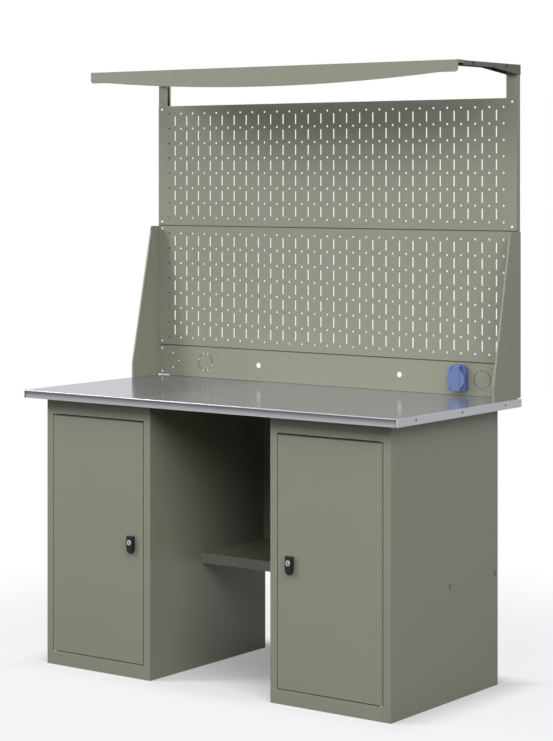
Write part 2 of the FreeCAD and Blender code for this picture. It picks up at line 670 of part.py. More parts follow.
def make_cabinet(side, name):
    """One cabinet without its door: two sides, back, base, top, shelf and clips."""
    g = s.cabinet_gauge
    hole_ys = [y - cabinet_front for y in bolt_ys]
    outer = make_cabinet_side(f"{name}_cabinet_outer_side", side * cabinet_outer, side, False)
    outer.cut("x", -s.overrun, 2 * s.overrun, *[Circle(y, bolt_z, s.plug_hole) for y in hole_ys])
    outer.round(s.bend_radius, {"x": ZERO, "y": ZERO}, {"x": ZERO, "y": cabinet_depth})
    inner = make_cabinet_side(f"{name}_cabinet_inner_side", side * cabinet_inner, -side, True)
    bolt_hole = s.bolt_diameter + s.screw_fit
    inner.cut("x", -s.overrun, 2 * s.overrun, *[Circle(y, bolt_z, bolt_hole) for y in hole_ys])
    inner.round(s.bend_radius, {"x": ZERO, "y": ZERO}, {"x": ZERO, "y": cabinet_depth})

    low_x, high_x = side * (cabinet_inner + g), side * (cabinet_outer - g)
    if side < 0:
        low_x, high_x = high_x, low_x
    inside = s.cabinet_width - 2 * g
    depth = cabinet_depth - 2 * g
    back_sheet = Piece(f"{name}_cabinet_back", x=low_x, y=cabinet_front + depth)
    back_sheet.pad("y", ZERO, g, rectangle(ZERO, ZERO, inside, under_top))

    fold = s.stile_width - g
    clear = s.stile_depth
    pin_x = side * hinge_x - low_x
    pin_hole = s.pin_diameter + s.pin_fit
    base = Piece(f"{name}_cabinet_base", x=low_x, y=cabinet_front)
    foot = s.foot_width
    section = [(ZERO, ZERO), (ZERO, s.bottom_rail), (depth, s.bottom_rail), (depth, ZERO),
               (depth - foot, ZERO), (depth - foot, g), (depth - g, g), (depth - g, s.bottom_rail - g),
               (g, s.bottom_rail - g), (g, g), (foot, g), (foot, ZERO)]
    base.pad("x", ZERO, inside, section)
    notches = [rectangle(-s.overrun, -s.overrun, fold, clear),
               rectangle(inside - fold, -s.overrun, inside + s.overrun, clear)]
    base.cut("z", -s.overrun, s.bottom_rail + 2 * s.overrun, *notches)
    base.cut("z", s.bottom_rail - s.overrun, 2 * s.overrun, Circle(pin_x, s.pin_setback, pin_hole))
    base.round(s.bend_radius, {"y": ZERO, "z": s.bottom_rail})

    top = Piece(f"{name}_cabinet_top", x=low_x, y=cabinet_front, z=under_top)
    section = [(ZERO, ZERO), (depth, ZERO), (depth, -g), (g, -g), (g, g - s.top_rail),
               (s.rail_ledge, g - s.top_rail), (s.rail_ledge, -s.top_rail), (ZERO, -s.top_rail)]
    top.pad("x", ZERO, inside, section)
    top.cut("z", -s.top_rail - s.overrun, s.top_rail + 2 * s.overrun, *notches)
    top.cut("z", -s.top_rail - s.overrun, 2 * s.overrun, Circle(pin_x, s.pin_setback, pin_hole))
    screw_hole = s.screw_shank + s.screw_fit
    places = [(x - low_x, y - cabinet_front) for x, y, z in cabinet_screws() if x.value * side > 0]
    top.cut("z", -s.overrun, 2 * s.overrun, *[Circle(x, y, screw_hole) for x, y in places])
    top.round(s.bend_radius, {"y": ZERO, "z": -s.top_rail})

    shelf_width = inside - 2 * s.shelf_play
    shelf_depth = depth - s.shelf_setback - s.shelf_play
    shelf = Piece(f"{name}_cabinet_shelf", x=low_x + s.shelf_play, y=cabinet_front + s.shelf_setback,
                  z=s.cabinet_shelf_height)
    section = [(ZERO, ZERO), (shelf_depth, ZERO), (shelf_depth, -s.shelf_lip),
               (shelf_depth - g, -s.shelf_lip), (shelf_depth - g, -g), (g, -g), (g, -s.shelf_lip),
               (ZERO, -s.shelf_lip)]
    shelf.pad("x", ZERO, shelf_width, section)
    shelf.round(s.bend_radius, {"y": ZERO, "z": ZERO}, {"y": shelf_depth, "z": ZERO})

    clips = []
    clip_ys = [s.shelf_setback + s.clip_inset, s.shelf_setback + shelf_depth - s.clip_inset - s.clip_width]
    for x, inward in ((low_x, 1), (low_x + inside, -1)):
        for y in clip_ys:
            points = [(ZERO, -s.clip_leg), (ZERO, ZERO), (s.clip_leg, ZERO), (s.clip_leg, -s.clip_gauge),
                      (s.clip_gauge, -s.clip_gauge), (s.clip_gauge, -s.clip_leg)]
            under_shelf = s.cabinet_shelf_height - g
            corners = [vector(x + inward * a, cabinet_front + y, under_shelf + b) for a, b in points]
            face = Part.Face(Part.makePolygon(corners + corners[:1]))
            clips.append(face.extrude(vector(ZERO, s.clip_width, ZERO)))
    group(f"{name}_shelf_clips", clips)


def make_door(side, name):
    """One door: pan, stiffener, hinge pins and washer, lock handle, nut, cylinder and cam."""
    g = s.cabinet_gauge
    hinge_edge = side * (cabinet_outer - s.stile_width - s.door_side_gap)
    inward = -side
    door = Piece(f"{name}_door_panel", x=hinge_edge, y=cabinet_front, z=door_bottom)
    door.pad("y", ZERO, s.door_depth, rectangle(ZERO, ZERO, inward * door_width, door_height))
    door.cut("y", g, s.door_depth, rectangle(inward * g, g, inward * (door_width - g), door_height - g))
    lock_at = (side * lock_x - hinge_edge, s.lock_height - door_bottom)
    door.cut("y", -s.overrun, s.overrun + s.overrun, Circle(*lock_at, s.barrel_diameter + s.barrel_fit))
    pin_place = (inward * s.pin_inset, s.pin_setback)
    for z in (-s.overrun, door_height - g - s.overrun):
        door.cut("z", z, g + 2 * s.overrun, Circle(*pin_place, s.pin_diameter + s.pin_fit))
    door.round(s.bend_radius, {"x": ZERO, "y": ZERO}, {"x": inward * door_width, "y": ZERO},
               {"y": ZERO, "z": ZERO}, {"y": ZERO, "z": door_height})

    stiffener = Piece(f"{name}_door_stiffener", x=hinge_edge + inward * door_width / 2,
                      y=cabinet_front + g, z=door_bottom + s.stiffener_end)
    half_web, reach = s.stiffener_web / 2, s.stiffener_web / 2 + s.stiffener_brim
    section = [(-reach, ZERO), (g - half_web, ZERO), (g - half_web, s.stiffener_depth - g),
               (half_web - g, s.stiffener_depth - g), (half_web - g, ZERO), (reach, ZERO), (reach, g),
               (half_web, g), (half_web, s.stiffener_depth), (-half_web, s.stiffener_depth),
               (-half_web, g), (-reach, g)]
    stiffener.pad("z", ZERO, door_height - 2 * s.stiffener_end, section)

    radius = s.pin_diameter / 2
    reach = s.door_gap + g + s.pin_reach
    pins = []
    for z, away in ((door_bottom, -1), (door_top, 1)):
        outline = [(ZERO, -s.pin_inside), (radius, -s.pin_inside), (radius, reach), (ZERO, reach)]
        pins.append(turned(outline, vector(side * hinge_x, hinge_y, z), AXES["z"] * away))
    group(f"{name}_hinge_pins", pins)
    washer_inner = (s.pin_diameter + 2 * s.pin_fit) / 2
    height = s.door_gap - s.washer_play
    outline = [(washer_inner, ZERO), (s.washer_diameter / 2, ZERO), (s.washer_diameter / 2, height),
               (washer_inner, height)]
    washer = turned(outline, vector(side * hinge_x, hinge_y, s.bottom_rail), AXES["z"])
    group(f"{name}_hinge_washer", [washer])

    make_lock(side, name)


def make_lock(side, name):
    """The lock of one door."""
    x = side * lock_x
    handle = Piece(f"{name}_lock_handle", x=x, y=cabinet_front, z=s.lock_height)
    half = s.handle_width / 2
    nose_z = s.handle_nose - s.handle_below
    outline = [(-half, s.handle_above), (half, s.handle_above), (half, -s.handle_shoulder),
               (s.handle_nose, nose_z), Through(ZERO, -s.handle_below), (-s.handle_nose, nose_z),
               (-half, -s.handle_shoulder)]
    handle.pad("y", -s.handle_depth, s.handle_depth, outline)
    handle.round(s.handle_corner, {"x": half, "z": s.handle_above}, {"x": -half, "z": s.handle_above})
    handle.round(s.handle_edge, {"y": -s.handle_depth})
    handle.pad("y", ZERO, s.barrel_length, Circle(ZERO, ZERO, s.barrel_diameter))
    bore = s.plug_diameter + s.plug_fit
    handle.cut("y", -s.handle_depth - s.overrun, s.handle_depth + s.barrel_length + 2 * s.overrun,
               Circle(ZERO, ZERO, bore))

    g = s.cabinet_gauge
    nut = hexagon(s.nut_width, s.nut_height, s.barrel_diameter + s.screw_fit,
                  vector(x, cabinet_front + g, s.lock_height), AXES["y"])
    group(f"{name}_lock_nut", [nut])

    cylinder = Piece(f"{name}_lock_cylinder", x=x, y=cabinet_front, z=s.lock_height)
    face_back = -s.handle_depth - s.face_play
    cylinder.pad("y", face_back - s.face_depth, s.face_depth, Circle(ZERO, ZERO, s.face_diameter))
    cylinder.round(s.rim_radius, {"y": face_back - s.face_depth})
    cylinder.pad("y", face_back, s.handle_depth + s.face_play + s.barrel_length + s.face_play,
                 Circle(ZERO, ZERO, s.plug_diameter))
    half_square = s.square_width / 2
    cam_y = s.stile_depth + s.cam_play
    square_start = s.barrel_length + s.face_play
    square = rectangle(-half_square, -half_square, half_square, half_square)
    cylinder.pad("y", square_start, cam_y + s.cam_gauge - square_start, square)
    slot = rectangle(-s.slot_width / 2, -s.slot_height / 2, s.slot_width / 2, s.slot_height / 2)
    cylinder.cut("y", face_back - s.face_depth - s.overrun, s.overrun + s.slot_depth, slot)

    cam = Piece(f"{name}_lock_cam", x=x, y=cabinet_front, z=s.lock_height)
    half_cam = s.cam_width / 2
    outline = [(-half_cam, ZERO), Through(ZERO, half_cam), (half_cam, ZERO),
               (half_cam, half_cam - s.cam_reach), Through(ZERO, -s.cam_reach),
               (-half_cam, half_cam - s.cam_reach)]
    cam.pad("y", cam_y, s.cam_gauge, outline)
    cam.cut("y", cam_y - s.overrun, s.cam_gauge + 2 * s.overrun, square)


def make_middle():
    """The shelf and the knee panel between the cabinets, their bolts and nuts, and the side plugs."""
    g = s.cabinet_gauge
    depth = middle_shelf_back - middle_shelf_front
    shelf = Piece("middle_shelf", y=middle_shelf_front, z=s.middle_shelf_height)
    shelf.pad("z", -s.middle_shelf_lip, s.middle_shelf_lip,
              rectangle(-cabinet_inner, ZERO, cabinet_inner, depth))
    shelf.cut("z", -s.middle_shelf_lip - s.overrun, s.middle_shelf_lip + s.overrun - g,
              rectangle(g - cabinet_inner, g, cabinet_inner - g, depth - g))
    bolt_hole = s.bolt_diameter + s.screw_fit
    holes = [Circle(y - middle_shelf_front, -s.bolt_drop, bolt_hole) for y in bolt_ys]
    shelf.cut("x", -cabinet_inner - s.overrun, 2 * (cabinet_inner + s.overrun), *holes)
    shelf.round(s.bend_radius, {"y": ZERO, "z": ZERO})

    knee_y = cabinet_back - s.knee_panel_inset
    knee = Piece("knee_panel", y=knee_y, z=s.middle_shelf_height)
    low, high = ZERO, s.knee_panel_inset
    section = [(-cabinet_inner, low), (cabinet_inner, low), (cabinet_inner, high), (cabinet_inner - g, high),
               (cabinet_inner - g, low + g), (g - cabinet_inner, low + g), (g - cabinet_inner, high),
               (-cabinet_inner, high)]
    knee.pad("z", ZERO, under_top - s.middle_shelf_height, section)

    bolts, nuts, plugs = [], [], []
    for side in (-1, 1):
        for y in bolt_ys:
            place = vector(side * (cabinet_inner + g), y, bolt_z)
            bolts.append(domed_screw(s.bolt_head, s.bolt_head_height, s.bolt_diameter, s.bolt_length,
                                     place, AXES["x"] * side))
            place = vector(side * (cabinet_inner - g), y, bolt_z)
            nuts.append(hexagon(s.bolt_nut_width, s.bolt_nut_height, bolt_hole, place, AXES["x"] * -side))
            place = vector(side * cabinet_outer, y, bolt_z)
            plugs.append(domed_screw(s.plug_cap, s.plug_cap_depth, s.plug_stem, s.plug_stem_length,
                                     place, AXES["x"] * side))
    group("shelf_bolts", bolts)
    group("shelf_nuts", nuts)
    group("side_plugs", plugs)


def corner_screws():
    """The places of the screws at the corners of the back wall sheets."""
    sheets = [(s.top_height + s.strip_foot, strip_top), (lower_bottom, lower_bottom + s.panel_height),
              (upper_bottom, upper_bottom + s.panel_height)]
    heights = []
    for low, high in sheets:
        heights += [low + s.corner_screw_inset, high - s.corner_screw_inset]
    return [(side * (post_outer - s.corner_screw_edge), z) for side in (-1, 1) for z in heights]


def make_frame():
    """The two posts and the two side plates."""
    p = s.post_gauge
    hole = s.screw_shank + s.screw_fit
    post_bottom = s.top_height + s.post_gap
    for side, name in ((-1, "left"), (1, "right")):
        post = Piece(f"{name}_post", x=side * post_outer, y=post_face, z=post_bottom)
        w, d, lip = s.post_width, s.post_depth, s.post_lip
        section = [(ZERO, ZERO), (-side * w, ZERO), (-side * w, p), (-side * p, p), (-side * p, d - p),
                   (-side * (w - p), d - p), (-side * (w - p), d - lip), (-side * w, d - lip),
                   (-side * w, d), (ZERO, d)]
        post.pad("z", ZERO, post_top - post_bottom, section)
        holes = [Circle(x - side * post_outer, z - post_bottom, hole)
                 for x, z in corner_screws() if x.value * side > 0]
        post.cut("y", -s.overrun, s.overrun + 2 * p, *holes)
        post.round(s.bend_radius, {"x": ZERO, "y": ZERO}, {"x": ZERO, "y": d})

        plate = Piece(f"{name}_side_plate", x=side * post_outer, y=plate_front, z=s.top_height)
        gauge = s.plate_gauge
        start = ZERO if side > 0 else -gauge
        lean = s.plate_depth - s.plate_top_depth
        notch = s.plate_depth - s.post_depth - s.panel_gauge
        outline = [(ZERO, ZERO), (notch, ZERO), (notch, s.post_gap), (s.plate_depth, s.post_gap),
                   (s.plate_depth, s.plate_height), (lean, s.plate_height), (ZERO, s.plate_straight)]
        plate.pad("x", start, gauge, outline)
        plate.round(s.plate_corner, {"y": lean, "z": s.plate_height})
        for y in tab_fronts:
            low, high = y - plate_front, y - plate_front + s.tab_width
            plate.pad("x", start, gauge, rectangle(low, -s.tab_depth, high, ZERO))
        fold = s.plate_flange - gauge
        fold_start = -fold if side > 0 else ZERO
        end_y = FLANGE_SHARE * lean
        end_z = s.plate_straight + FLANGE_SHARE * (s.plate_height - s.plate_straight)
        flange = [(ZERO, ZERO), (gauge, ZERO), (gauge, s.plate_straight), (end_y + gauge, end_z),
                  (end_y, end_z), (ZERO, s.plate_straight)]
        plate.pad("x", fold_start, fold, flange)


def slot_wire(x, z, width, length):
    """A straight slot with round ends, standing upright."""
    radius = width.value / 2
    reach = length.value / 2 - radius
    left_low, right_low = FreeCAD.Vector(x - radius, 0, z - reach), FreeCAD.Vector(x + radius, 0, z - reach)
    left_high, right_high = FreeCAD.Vector(x - radius, 0, z + reach), FreeCAD.Vector(x + radius, 0, z + reach)
    low = FreeCAD.Vector(x, 0, z - reach - radius)
    high = FreeCAD.Vector(x, 0, z + reach + radius)
    edges = [Part.LineSegment(left_low, left_high), Part.Arc(left_high, high, right_high),
             Part.LineSegment(right_high, right_low), Part.Arc(right_low, low, left_low)]
    return Part.Wire([edge.toShape() for edge in edges])


def round_wire(x, z, diameter):
    """A round hole in a sheet that stands upright."""
    centre = FreeCAD.Vector(x, 0, z)
    return Part.Wire([Part.Circle(centre, FreeCAD.Vector(0, 1, 0), diameter.value / 2).toShape()])


def make_panel(label, bottom, half):
    """A perforated sheet: one holed face, given its gauge, with folded long edges."""
    width, height = half.value, s.panel_height.value
    corners = [FreeCAD.Vector(-width, 0, 0), FreeCAD.Vector(width, 0, 0),
               FreeCAD.Vector(width, 0, height), FreeCAD.Vector(-width, 0, height)]
    outer = Part.makePolygon(corners + corners[:1])
    holes = []
    pitch, margin = s.hole_pitch.value, s.hole_margin.value
    span = hole_span.value
    for column in range(hole_columns):
        x = column * pitch - span
        for row in range(HOLE_ROWS):
            holes.append(round_wire(x, margin + row * pitch, s.hole_diameter))
    for column in range(hole_columns - 1):
        x = (column + 0.5) * pitch - span
        for row in range(HOLE_ROWS - 1):
            holes.append(slot_wire(x, margin + (row + 0.5) * pitch, s.hook_slot, s.slot_length))
    for x, z in corner_screws():
        if bottom.value < z.value < bottom.value + height:
            holes.append(round_wire(x.value, z.value - bottom.value, s.screw_shank + s.screw_fit))
    face = holed_face(outer, holes)
    gauge = s.panel_gauge.value
    solid = face.extrude(FreeCAD.Vector(0, gauge, 0))
    corner_edges = [edge for edge in solid.Edges if edge.BoundBox.YLength > gauge - TOLERANCE
                    and abs(abs(edge.BoundBox.XMin) - width) < TOLERANCE
                    and edge.BoundBox.XLength + edge.BoundBox.ZLength < TOLERANCE]
    solid = solid.makeFillet(s.panel_corner.value, corner_edges)
    fold, reach = s.panel_fold.value, fold_end.value
    folds = [Part.makeBox(2 * reach, fold - gauge, gauge, FreeCAD.Vector(-reach, gauge, z))
             for z in (0, height - gauge)]
    solid = with_bends(solid.fuse(folds).removeSplitter(), (0, height))
    group(label, [solid], y=panel_face, z=bottom)


def with_bends(solid, heights):
    """A folded sheet with its long front edges rounded, where the folds start."""
    edges = []
    for edge in solid.Edges:
        box = edge.BoundBox
        level = any(abs(box.ZMin - z) < TOLERANCE and abs(box.ZMax - z) < TOLERANCE for z in heights)
        if level and box.YMax < TOLERANCE and box.XLength > fold_end.value:
            edges.append(edge)
    return solid.makeFillet(s.bend_radius.value, edges)


def holed_face(outer, holes):
    """A flat face with its holes, each wire turned the right way round."""
    face = Part.Face(outer)
    wires = [outer]
    for hole in holes:
        disc = Part.Face(hole)
        if disc.normalAt(0, 0).dot(face.normalAt(0, 0)) > 0:
            hole.reverse()
        wires.append(hole)
    return Part.Face(wires)


def knockout_loops(x, z):
    """The slits round a pressed-in disc, with a bridge between each two."""
    inner = (s.knockout_diameter / 2).value
    outer = inner + s.knockout_slit.value
    wires = []
    for arc in range(KNOCKOUT_ARCS):
        start = 2 * math.pi / KNOCKOUT_ARCS * (arc + BRIDGE_SHARE)
        end = 2 * math.pi / KNOCKOUT_ARCS * (arc + 1)
        ring = []
        for radius, first, last in ((inner, start, end), (outer, end, start)):
            ring.append([FreeCAD.Vector(x + radius * math.cos(angle), 0, z + radius * math.sin(angle))
                         for angle in (first, (first + last) / 2, last)])
        edges = [Part.Arc(*ring[0]), Part.LineSegment(ring[0][2], ring[1][0]),
                 Part.Arc(*ring[1]), Part.LineSegment(ring[1][2], ring[0][0])]
        wires.append(Part.Wire([edge.toShape() for edge in edges]))
    return wires


def socket_screws():
    """The places of the four socket screws, from the middle of the socket."""
    half = s.socket_screw_spacing / 2
    return [(x * half, z * half) for x in (-1, 1) for z in (-1, 1)]


def make_strip():
    """The socket strip over the worktop, with its notched ends and folded long edges."""
    half = (post_outer - s.panel_play).value
    height = s.strip_height.value
    notch = (s.post_gap - s.strip_foot).value
    reach = fold_end.value
    outline = [(-half, notch), (-reach, notch), (-reach, 0), (reach, 0), (reach, notch), (half, notch),
               (half, height), (-half, height)]
    points = [FreeCAD.Vector(x, 0, z) for x, z in outline]
    outer = Part.makePolygon(points + points[:1])
    bottom = s.top_height + s.strip_foot
    axis = (strip_hole_z - bottom).value
    holes = [round_wire(side * s.cable_hole_place.value, axis, s.cable_hole) for side in (-1, 1)]
    star_x = (s.star_inset - half_width).value
    for hole in range(STAR_HOLES):
        angle = 2 * math.pi * hole / STAR_HOLES
        x = star_x + s.star_radius.value * math.cos(angle)
        holes.append(round_wire(x, axis + s.star_radius.value * math.sin(angle), s.star_hole))
    holes += knockout_loops((s.left_knockout_inset - half_width).value, axis)
    holes += knockout_loops((half_width - s.right_knockout_inset).value, axis)
    screw_hole = s.screw_shank + s.screw_fit
    for x, z in corner_screws():
        if z.value < strip_top.value:
            holes.append(round_wire(x.value, z.value - bottom.value, screw_hole))
    socket_axis = (socket_z - bottom).value
    holes.append(round_wire(socket_x.value, socket_axis, s.socket_well + s.well_play))
    for x, z in socket_screws():
        holes.append(round_wire((socket_x + x).value, socket_axis + z.value, screw_hole))
    gauge = s.panel_gauge.value
    solid = holed_face(outer, holes).extrude(FreeCAD.Vector(0, gauge, 0))
    fold = s.panel_fold.value
    folds = [Part.makeBox(2 * reach, fold - gauge, gauge, FreeCAD.Vector(-reach, gauge, z))
             for z in (0, height - gauge)]
    solid = with_bends(solid.fuse(folds).removeSplitter(), (0, height))
    drills = [Part.makeCylinder(screw_hole.value / 2, 2 * gauge,
                                FreeCAD.Vector(x.value, y.value - panel_face.value, -gauge / 2))
              for x, y, z in strip_screws()]
    group("socket_strip", [solid.cut(drills)], y=panel_face, z=bottom)


def make_back_wall():
    """The socket strip, two perforated panels and every screw of the back wall and the cabinets."""
    make_strip()
    make_panel("lower_perforated_panel", lower_bottom, post_outer - s.panel_play)
    make_panel("upper_perforated_panel", upper_bottom, post_outer)
    group("back_wall_screws",
          [sheet_screw(vector(x, panel_face, z), -AXES["y"]) for x, z in corner_screws()])
    screws = [wood_screw(vector(*place), AXES["z"]) for place in strip_screws()]
    screws += [wood_screw(vector(*place), -AXES["z"]) for place in cabinet_screws()]
    group("wood_screws", screws)


def hood_screws():
    """The places of the screws that hold the hood on its arms."""
    start, span = hood_front + s.hood_tab, s.roof_depth - s.hood_tab
    return [(side * (half_width - s.hood_screw_inset), start + share * span, hood_top)
            for side in (-1, 1) for share in HOOD_SCREW_SHARES]


def make_hood():
    """The hood, its two arms and its screws."""
    hole = s.screw_shank + s.screw_fit
    hood = Piece("hood", y=hood_front, z=hood_top)
    straight = half_width - s.hood_straight
    lip = [(-half_width, ZERO), (half_width, ZERO), (half_width, -s.hood_lip), (straight, -s.hood_lip),
           Through(ZERO, -s.hood_belly), (-straight, -s.hood_lip), (-half_width, -s.hood_lip)]
    hood.pad("y", ZERO, s.hood_gauge, lip)
    hood.pad("z", -s.hood_gauge, s.hood_gauge, rectangle(-half_width, ZERO, half_width, s.hood_tab))
    roof_side = half_width - s.roof_inset
    hood.pad("z", -s.hood_gauge, s.hood_gauge, rectangle(-roof_side, ZERO, roof_side, s.roof_depth))
    for x in (-half_width, half_width - s.hood_gauge):
        hood.pad("x", x, s.hood_gauge, rectangle(ZERO, -s.hood_tab_height, s.hood_tab, ZERO))
    hood.cut("z", -s.overrun, 2 * s.overrun, *[Circle(x, y - hood_front, hole) for x, y, z in hood_screws()])
    hood.round(s.hood_corner, {"x": half_width, "z": -s.hood_lip}, {"x": -half_width, "z": -s.hood_lip})
    hood.round(s.bend_radius, {"y": ZERO, "z": ZERO})

    arm_front = hood_front + s.hood_tab
    arm_length = wall_back - arm_front
    width = s.post_width + s.arm_play + 2 * s.arm_gauge
    for side, name in ((-1, "left"), (1, "right")):
        outer = post_outer + s.arm_gauge
        low = outer - width if side > 0 else -outer
        arm = Piece(f"{name}_hood_arm", x=low, y=arm_front, z=arm_top)
        profile = [(ZERO, ZERO), (arm_length, ZERO), (arm_length, -s.arm_back_height),
                   (s.arm_straight, -s.arm_front_height), (ZERO, -s.arm_front_height)]
        arm.pad("x", ZERO, width, profile)
        hollow = rectangle(-s.overrun, -s.arm_back_height - s.overrun, arm_length + s.overrun, -s.arm_gauge)
        arm.cut("x", s.arm_gauge, width - 2 * s.arm_gauge, hollow)
        start = width - s.arm_gauge - s.overrun if side > 0 else -s.overrun
        hole_ys = (s.arm_hole_front_inset, arm_length - s.arm_hole_back_inset)
        holes = [Circle(y, -s.arm_hole_drop, s.arm_hole) for y in hole_ys]
        arm.cut("x", start, s.arm_gauge + 2 * s.overrun, *holes)
        places = [(x - low, y - arm_front) for x, y, z in hood_screws() if x.value * side > 0]
        arm.cut("z", -s.arm_gauge - s.overrun, s.arm_gauge + 2 * s.overrun,
                *[Circle(x, y, hole) for x, y in places])
        arm.round(s.bend_radius, {"x": ZERO, "z": ZERO}, {"x": width, "z": ZERO})
    group("hood_screws", [sheet_screw(vector(*place), AXES["z"]) for place in hood_screws()])


def make_socket():
    """The power socket: housing, contact carrier, contacts, earth clips, screws, lid and pin."""
    place = {"x": socket_x, "y": panel_face, "z": socket_z}
    half = s.socket_width / 2
    shoulder = s.socket_shoulder
    housing = Piece("socket_housing", **place)
    housing.pad("y", -s.socket_depth, s.socket_depth, rectangle(-half, -s.socket_below, half, s.socket_above))
    housing.round(shoulder, {"x": half, "z": s.socket_above}, {"x": -half, "z": s.socket_above})
    housing.round(s.socket_corner, {"x": half, "z": -s.socket_below}, {"x": -half, "z": -s.socket_below})
    housing.round(s.socket_edge, {"y": -s.socket_depth})
    screw_hole = s.screw_shank + s.screw_fit
    sink = s.socket_screw_head + s.socket_screw_play
    through = [Circle(ZERO, ZERO, s.socket_well + s.well_play)]
    through += [Circle(x, z, screw_hole) for x, z in socket_screws()]
    housing.cut("y", -s.socket_depth - s.overrun, s.socket_depth + 2 * s.overrun, *through)
    housing.cut("y", -s.socket_depth - s.overrun, s.overrun + s.socket_screw_sink,
                *[Circle(x, z, sink) for x, z in socket_screws()])
    knuckle = s.knuckle_diameter / 2
    hinge_depth = -s.socket_depth - s.lid_play - knuckle
    ear_inner = s.knuckle_width / 2 + s.lid_play
    for x in (-ear_inner - s.ear_width, ear_inner):
        ear = [(-s.socket_depth, s.hinge_rise - knuckle), (-s.socket_depth, s.hinge_rise + knuckle),
               (hinge_depth, s.hinge_rise + knuckle), Through(hinge_depth - knuckle, s.hinge_rise),
               (hinge_depth, s.hinge_rise - knuckle)]
        housing.pad("x", x, s.ear_width, ear)
    pin_hole = Circle(hinge_depth, s.hinge_rise, s.lid_pin + s.lid_pin_fit)
    reach = ear_inner + s.ear_width
    housing.cut("x", -reach - s.overrun, 2 * (reach + s.overrun), pin_hole)

    carrier = Piece("socket_contact_carrier", **place)
    carrier_front = s.well_depth - s.socket_depth
    carrier.pad("y", carrier_front, s.insert_depth, Circle(ZERO, ZERO, s.socket_well))
    contact_xs = [-s.contact_spacing / 2, s.contact_spacing / 2]
    carrier.cut("y", carrier_front - s.overrun, s.overrun + s.contact_length,
                *[Circle(x, ZERO, s.contact_hole) for x in contact_xs])

    x0, y0, z0 = socket_x, panel_face, socket_z
    sleeves = []
    clips = []
    outer, inner = s.contact_hole / 2, s.contact_hole / 2 - s.contact_wall
    for x in contact_xs:
        outline = [(inner, ZERO), (outer, ZERO), (outer, s.contact_length), (inner, s.contact_length)]
        start = vector(x0 + x, y0 + carrier_front + s.contact_length, z0)
        sleeves.append(turned(outline, start, -AXES["y"]))
    reach_up = s.socket_well / 2 - s.earth_gap
    for low in (reach_up - s.earth_gauge, -reach_up):
        corner = vector(x0 - s.earth_width / 2, y0 + carrier_front - s.earth_length, z0 + low)
        clips.append(Part.makeBox(s.earth_width.value, s.earth_length.value, s.earth_gauge.value, corner))
    group("socket_contacts", sleeves)
    group("socket_earth_clips", clips)
    head_y = y0 - s.socket_depth + s.socket_screw_sink
    screws = [domed_screw(s.socket_screw_head, s.pan_dome, s.screw_shank, s.socket_screw_length,
                          vector(x0 + x, head_y, z0 + z), -AXES["y"]) for x, z in socket_screws()]
    group("socket_screws", screws)

    lid = Piece("socket_lid", **place)
    lid_back = -s.socket_depth - s.lid_play
    lid_front = lid_back - s.lid_depth
    lid.pad("y", lid_front, s.lid_depth, Circle(ZERO, ZERO, s.lid_diameter))
    lid.round(s.socket_edge, {"y": lid_front})
    tab_half, band_half = s.lid_tab / 2, s.lid_ridge_width / 2
    lid_top = s.hinge_rise - knuckle - s.lid_play
    lid.pad("y", lid_front, s.lid_depth, rectangle(-tab_half, -s.lid_clasp, tab_half, lid_top))
    lid.pad("y", lid_front - s.lid_ridge, s.lid_depth,
            rectangle(-band_half, -s.lid_clasp, band_half, lid_top))
    lid.cut("y", lid_front + s.lid_skin, s.lid_depth, Circle(ZERO, ZERO, s.lid_hollow))
    barrel = [(hinge_depth - knuckle, s.hinge_rise - knuckle - 2 * s.lid_play),
              (hinge_depth - knuckle, s.hinge_rise),
              Through(hinge_depth, s.hinge_rise + knuckle),
              (hinge_depth + knuckle, s.hinge_rise),
              (hinge_depth + knuckle, s.hinge_rise - knuckle - 2 * s.lid_play)]
    lid.pad("x", -s.knuckle_width / 2, s.knuckle_width, barrel)
    lid.cut("x", -reach - s.overrun, 2 * (reach + s.overrun), pin_hole)

    pin = turned([(ZERO, -reach), (s.lid_pin / 2, -reach), (s.lid_pin / 2, reach), (ZERO, reach)],
                 vector(x0, y0 + hinge_depth, z0 + s.hinge_rise), AXES["x"])
    group("socket_lid_pin", [pin])


def check_model():
    """Stop if any object failed, any cut took nothing or any sub-part is not a valid solid."""
    document.recompute()
    for item in document.Objects:
        if "Invalid" in item.State or "Error" in item.State:
            raise RuntimeError(f"{item.Name} is {item.State}")
        if item.TypeId == "PartDesign::Pocket":
            base = item.BaseFeature.Shape.Volume
            if item.Shape.Volume > base - TOLERANCE:
                raise RuntimeError(f"{item.Name} cuts nothing")
    for part in parts:
        shape = part.Shape
        if shape.isNull() or not shape.isValid() or not shape.Solids:
            raise RuntimeError(f"{part.Label} has no valid solid")


make_worktop()
for cabinet_side, cabinet_name in ((-1, "left"), (1, "right")):
    make_cabinet(cabinet_side, cabinet_name)
    make_door(cabinet_side, cabinet_name)
make_middle()
make_frame()
make_back_wall()
make_hood()
make_socket()
check_model()

os.makedirs("parts", exist_ok=True)
for part in parts:
    part.Shape.exportStep(f"parts/{part.Label}.step")
print(len(parts), "sub-parts,", sum(len(part.Shape.Solids) for part in parts), "solids")
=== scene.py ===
"""A steel workbench with two cabinets, a perforated back wall, a hood and a socket, finished for its picture.

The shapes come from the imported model. This file gives every piece its finish, rebuilds the small hardware in
full detail, and sets up the floor, the lamps and the camera.
"""

import math

import bmesh
import bpy
from bpy.props import FloatProperty, FloatVectorProperty, PointerProperty
from mathutils import Matrix, Vector


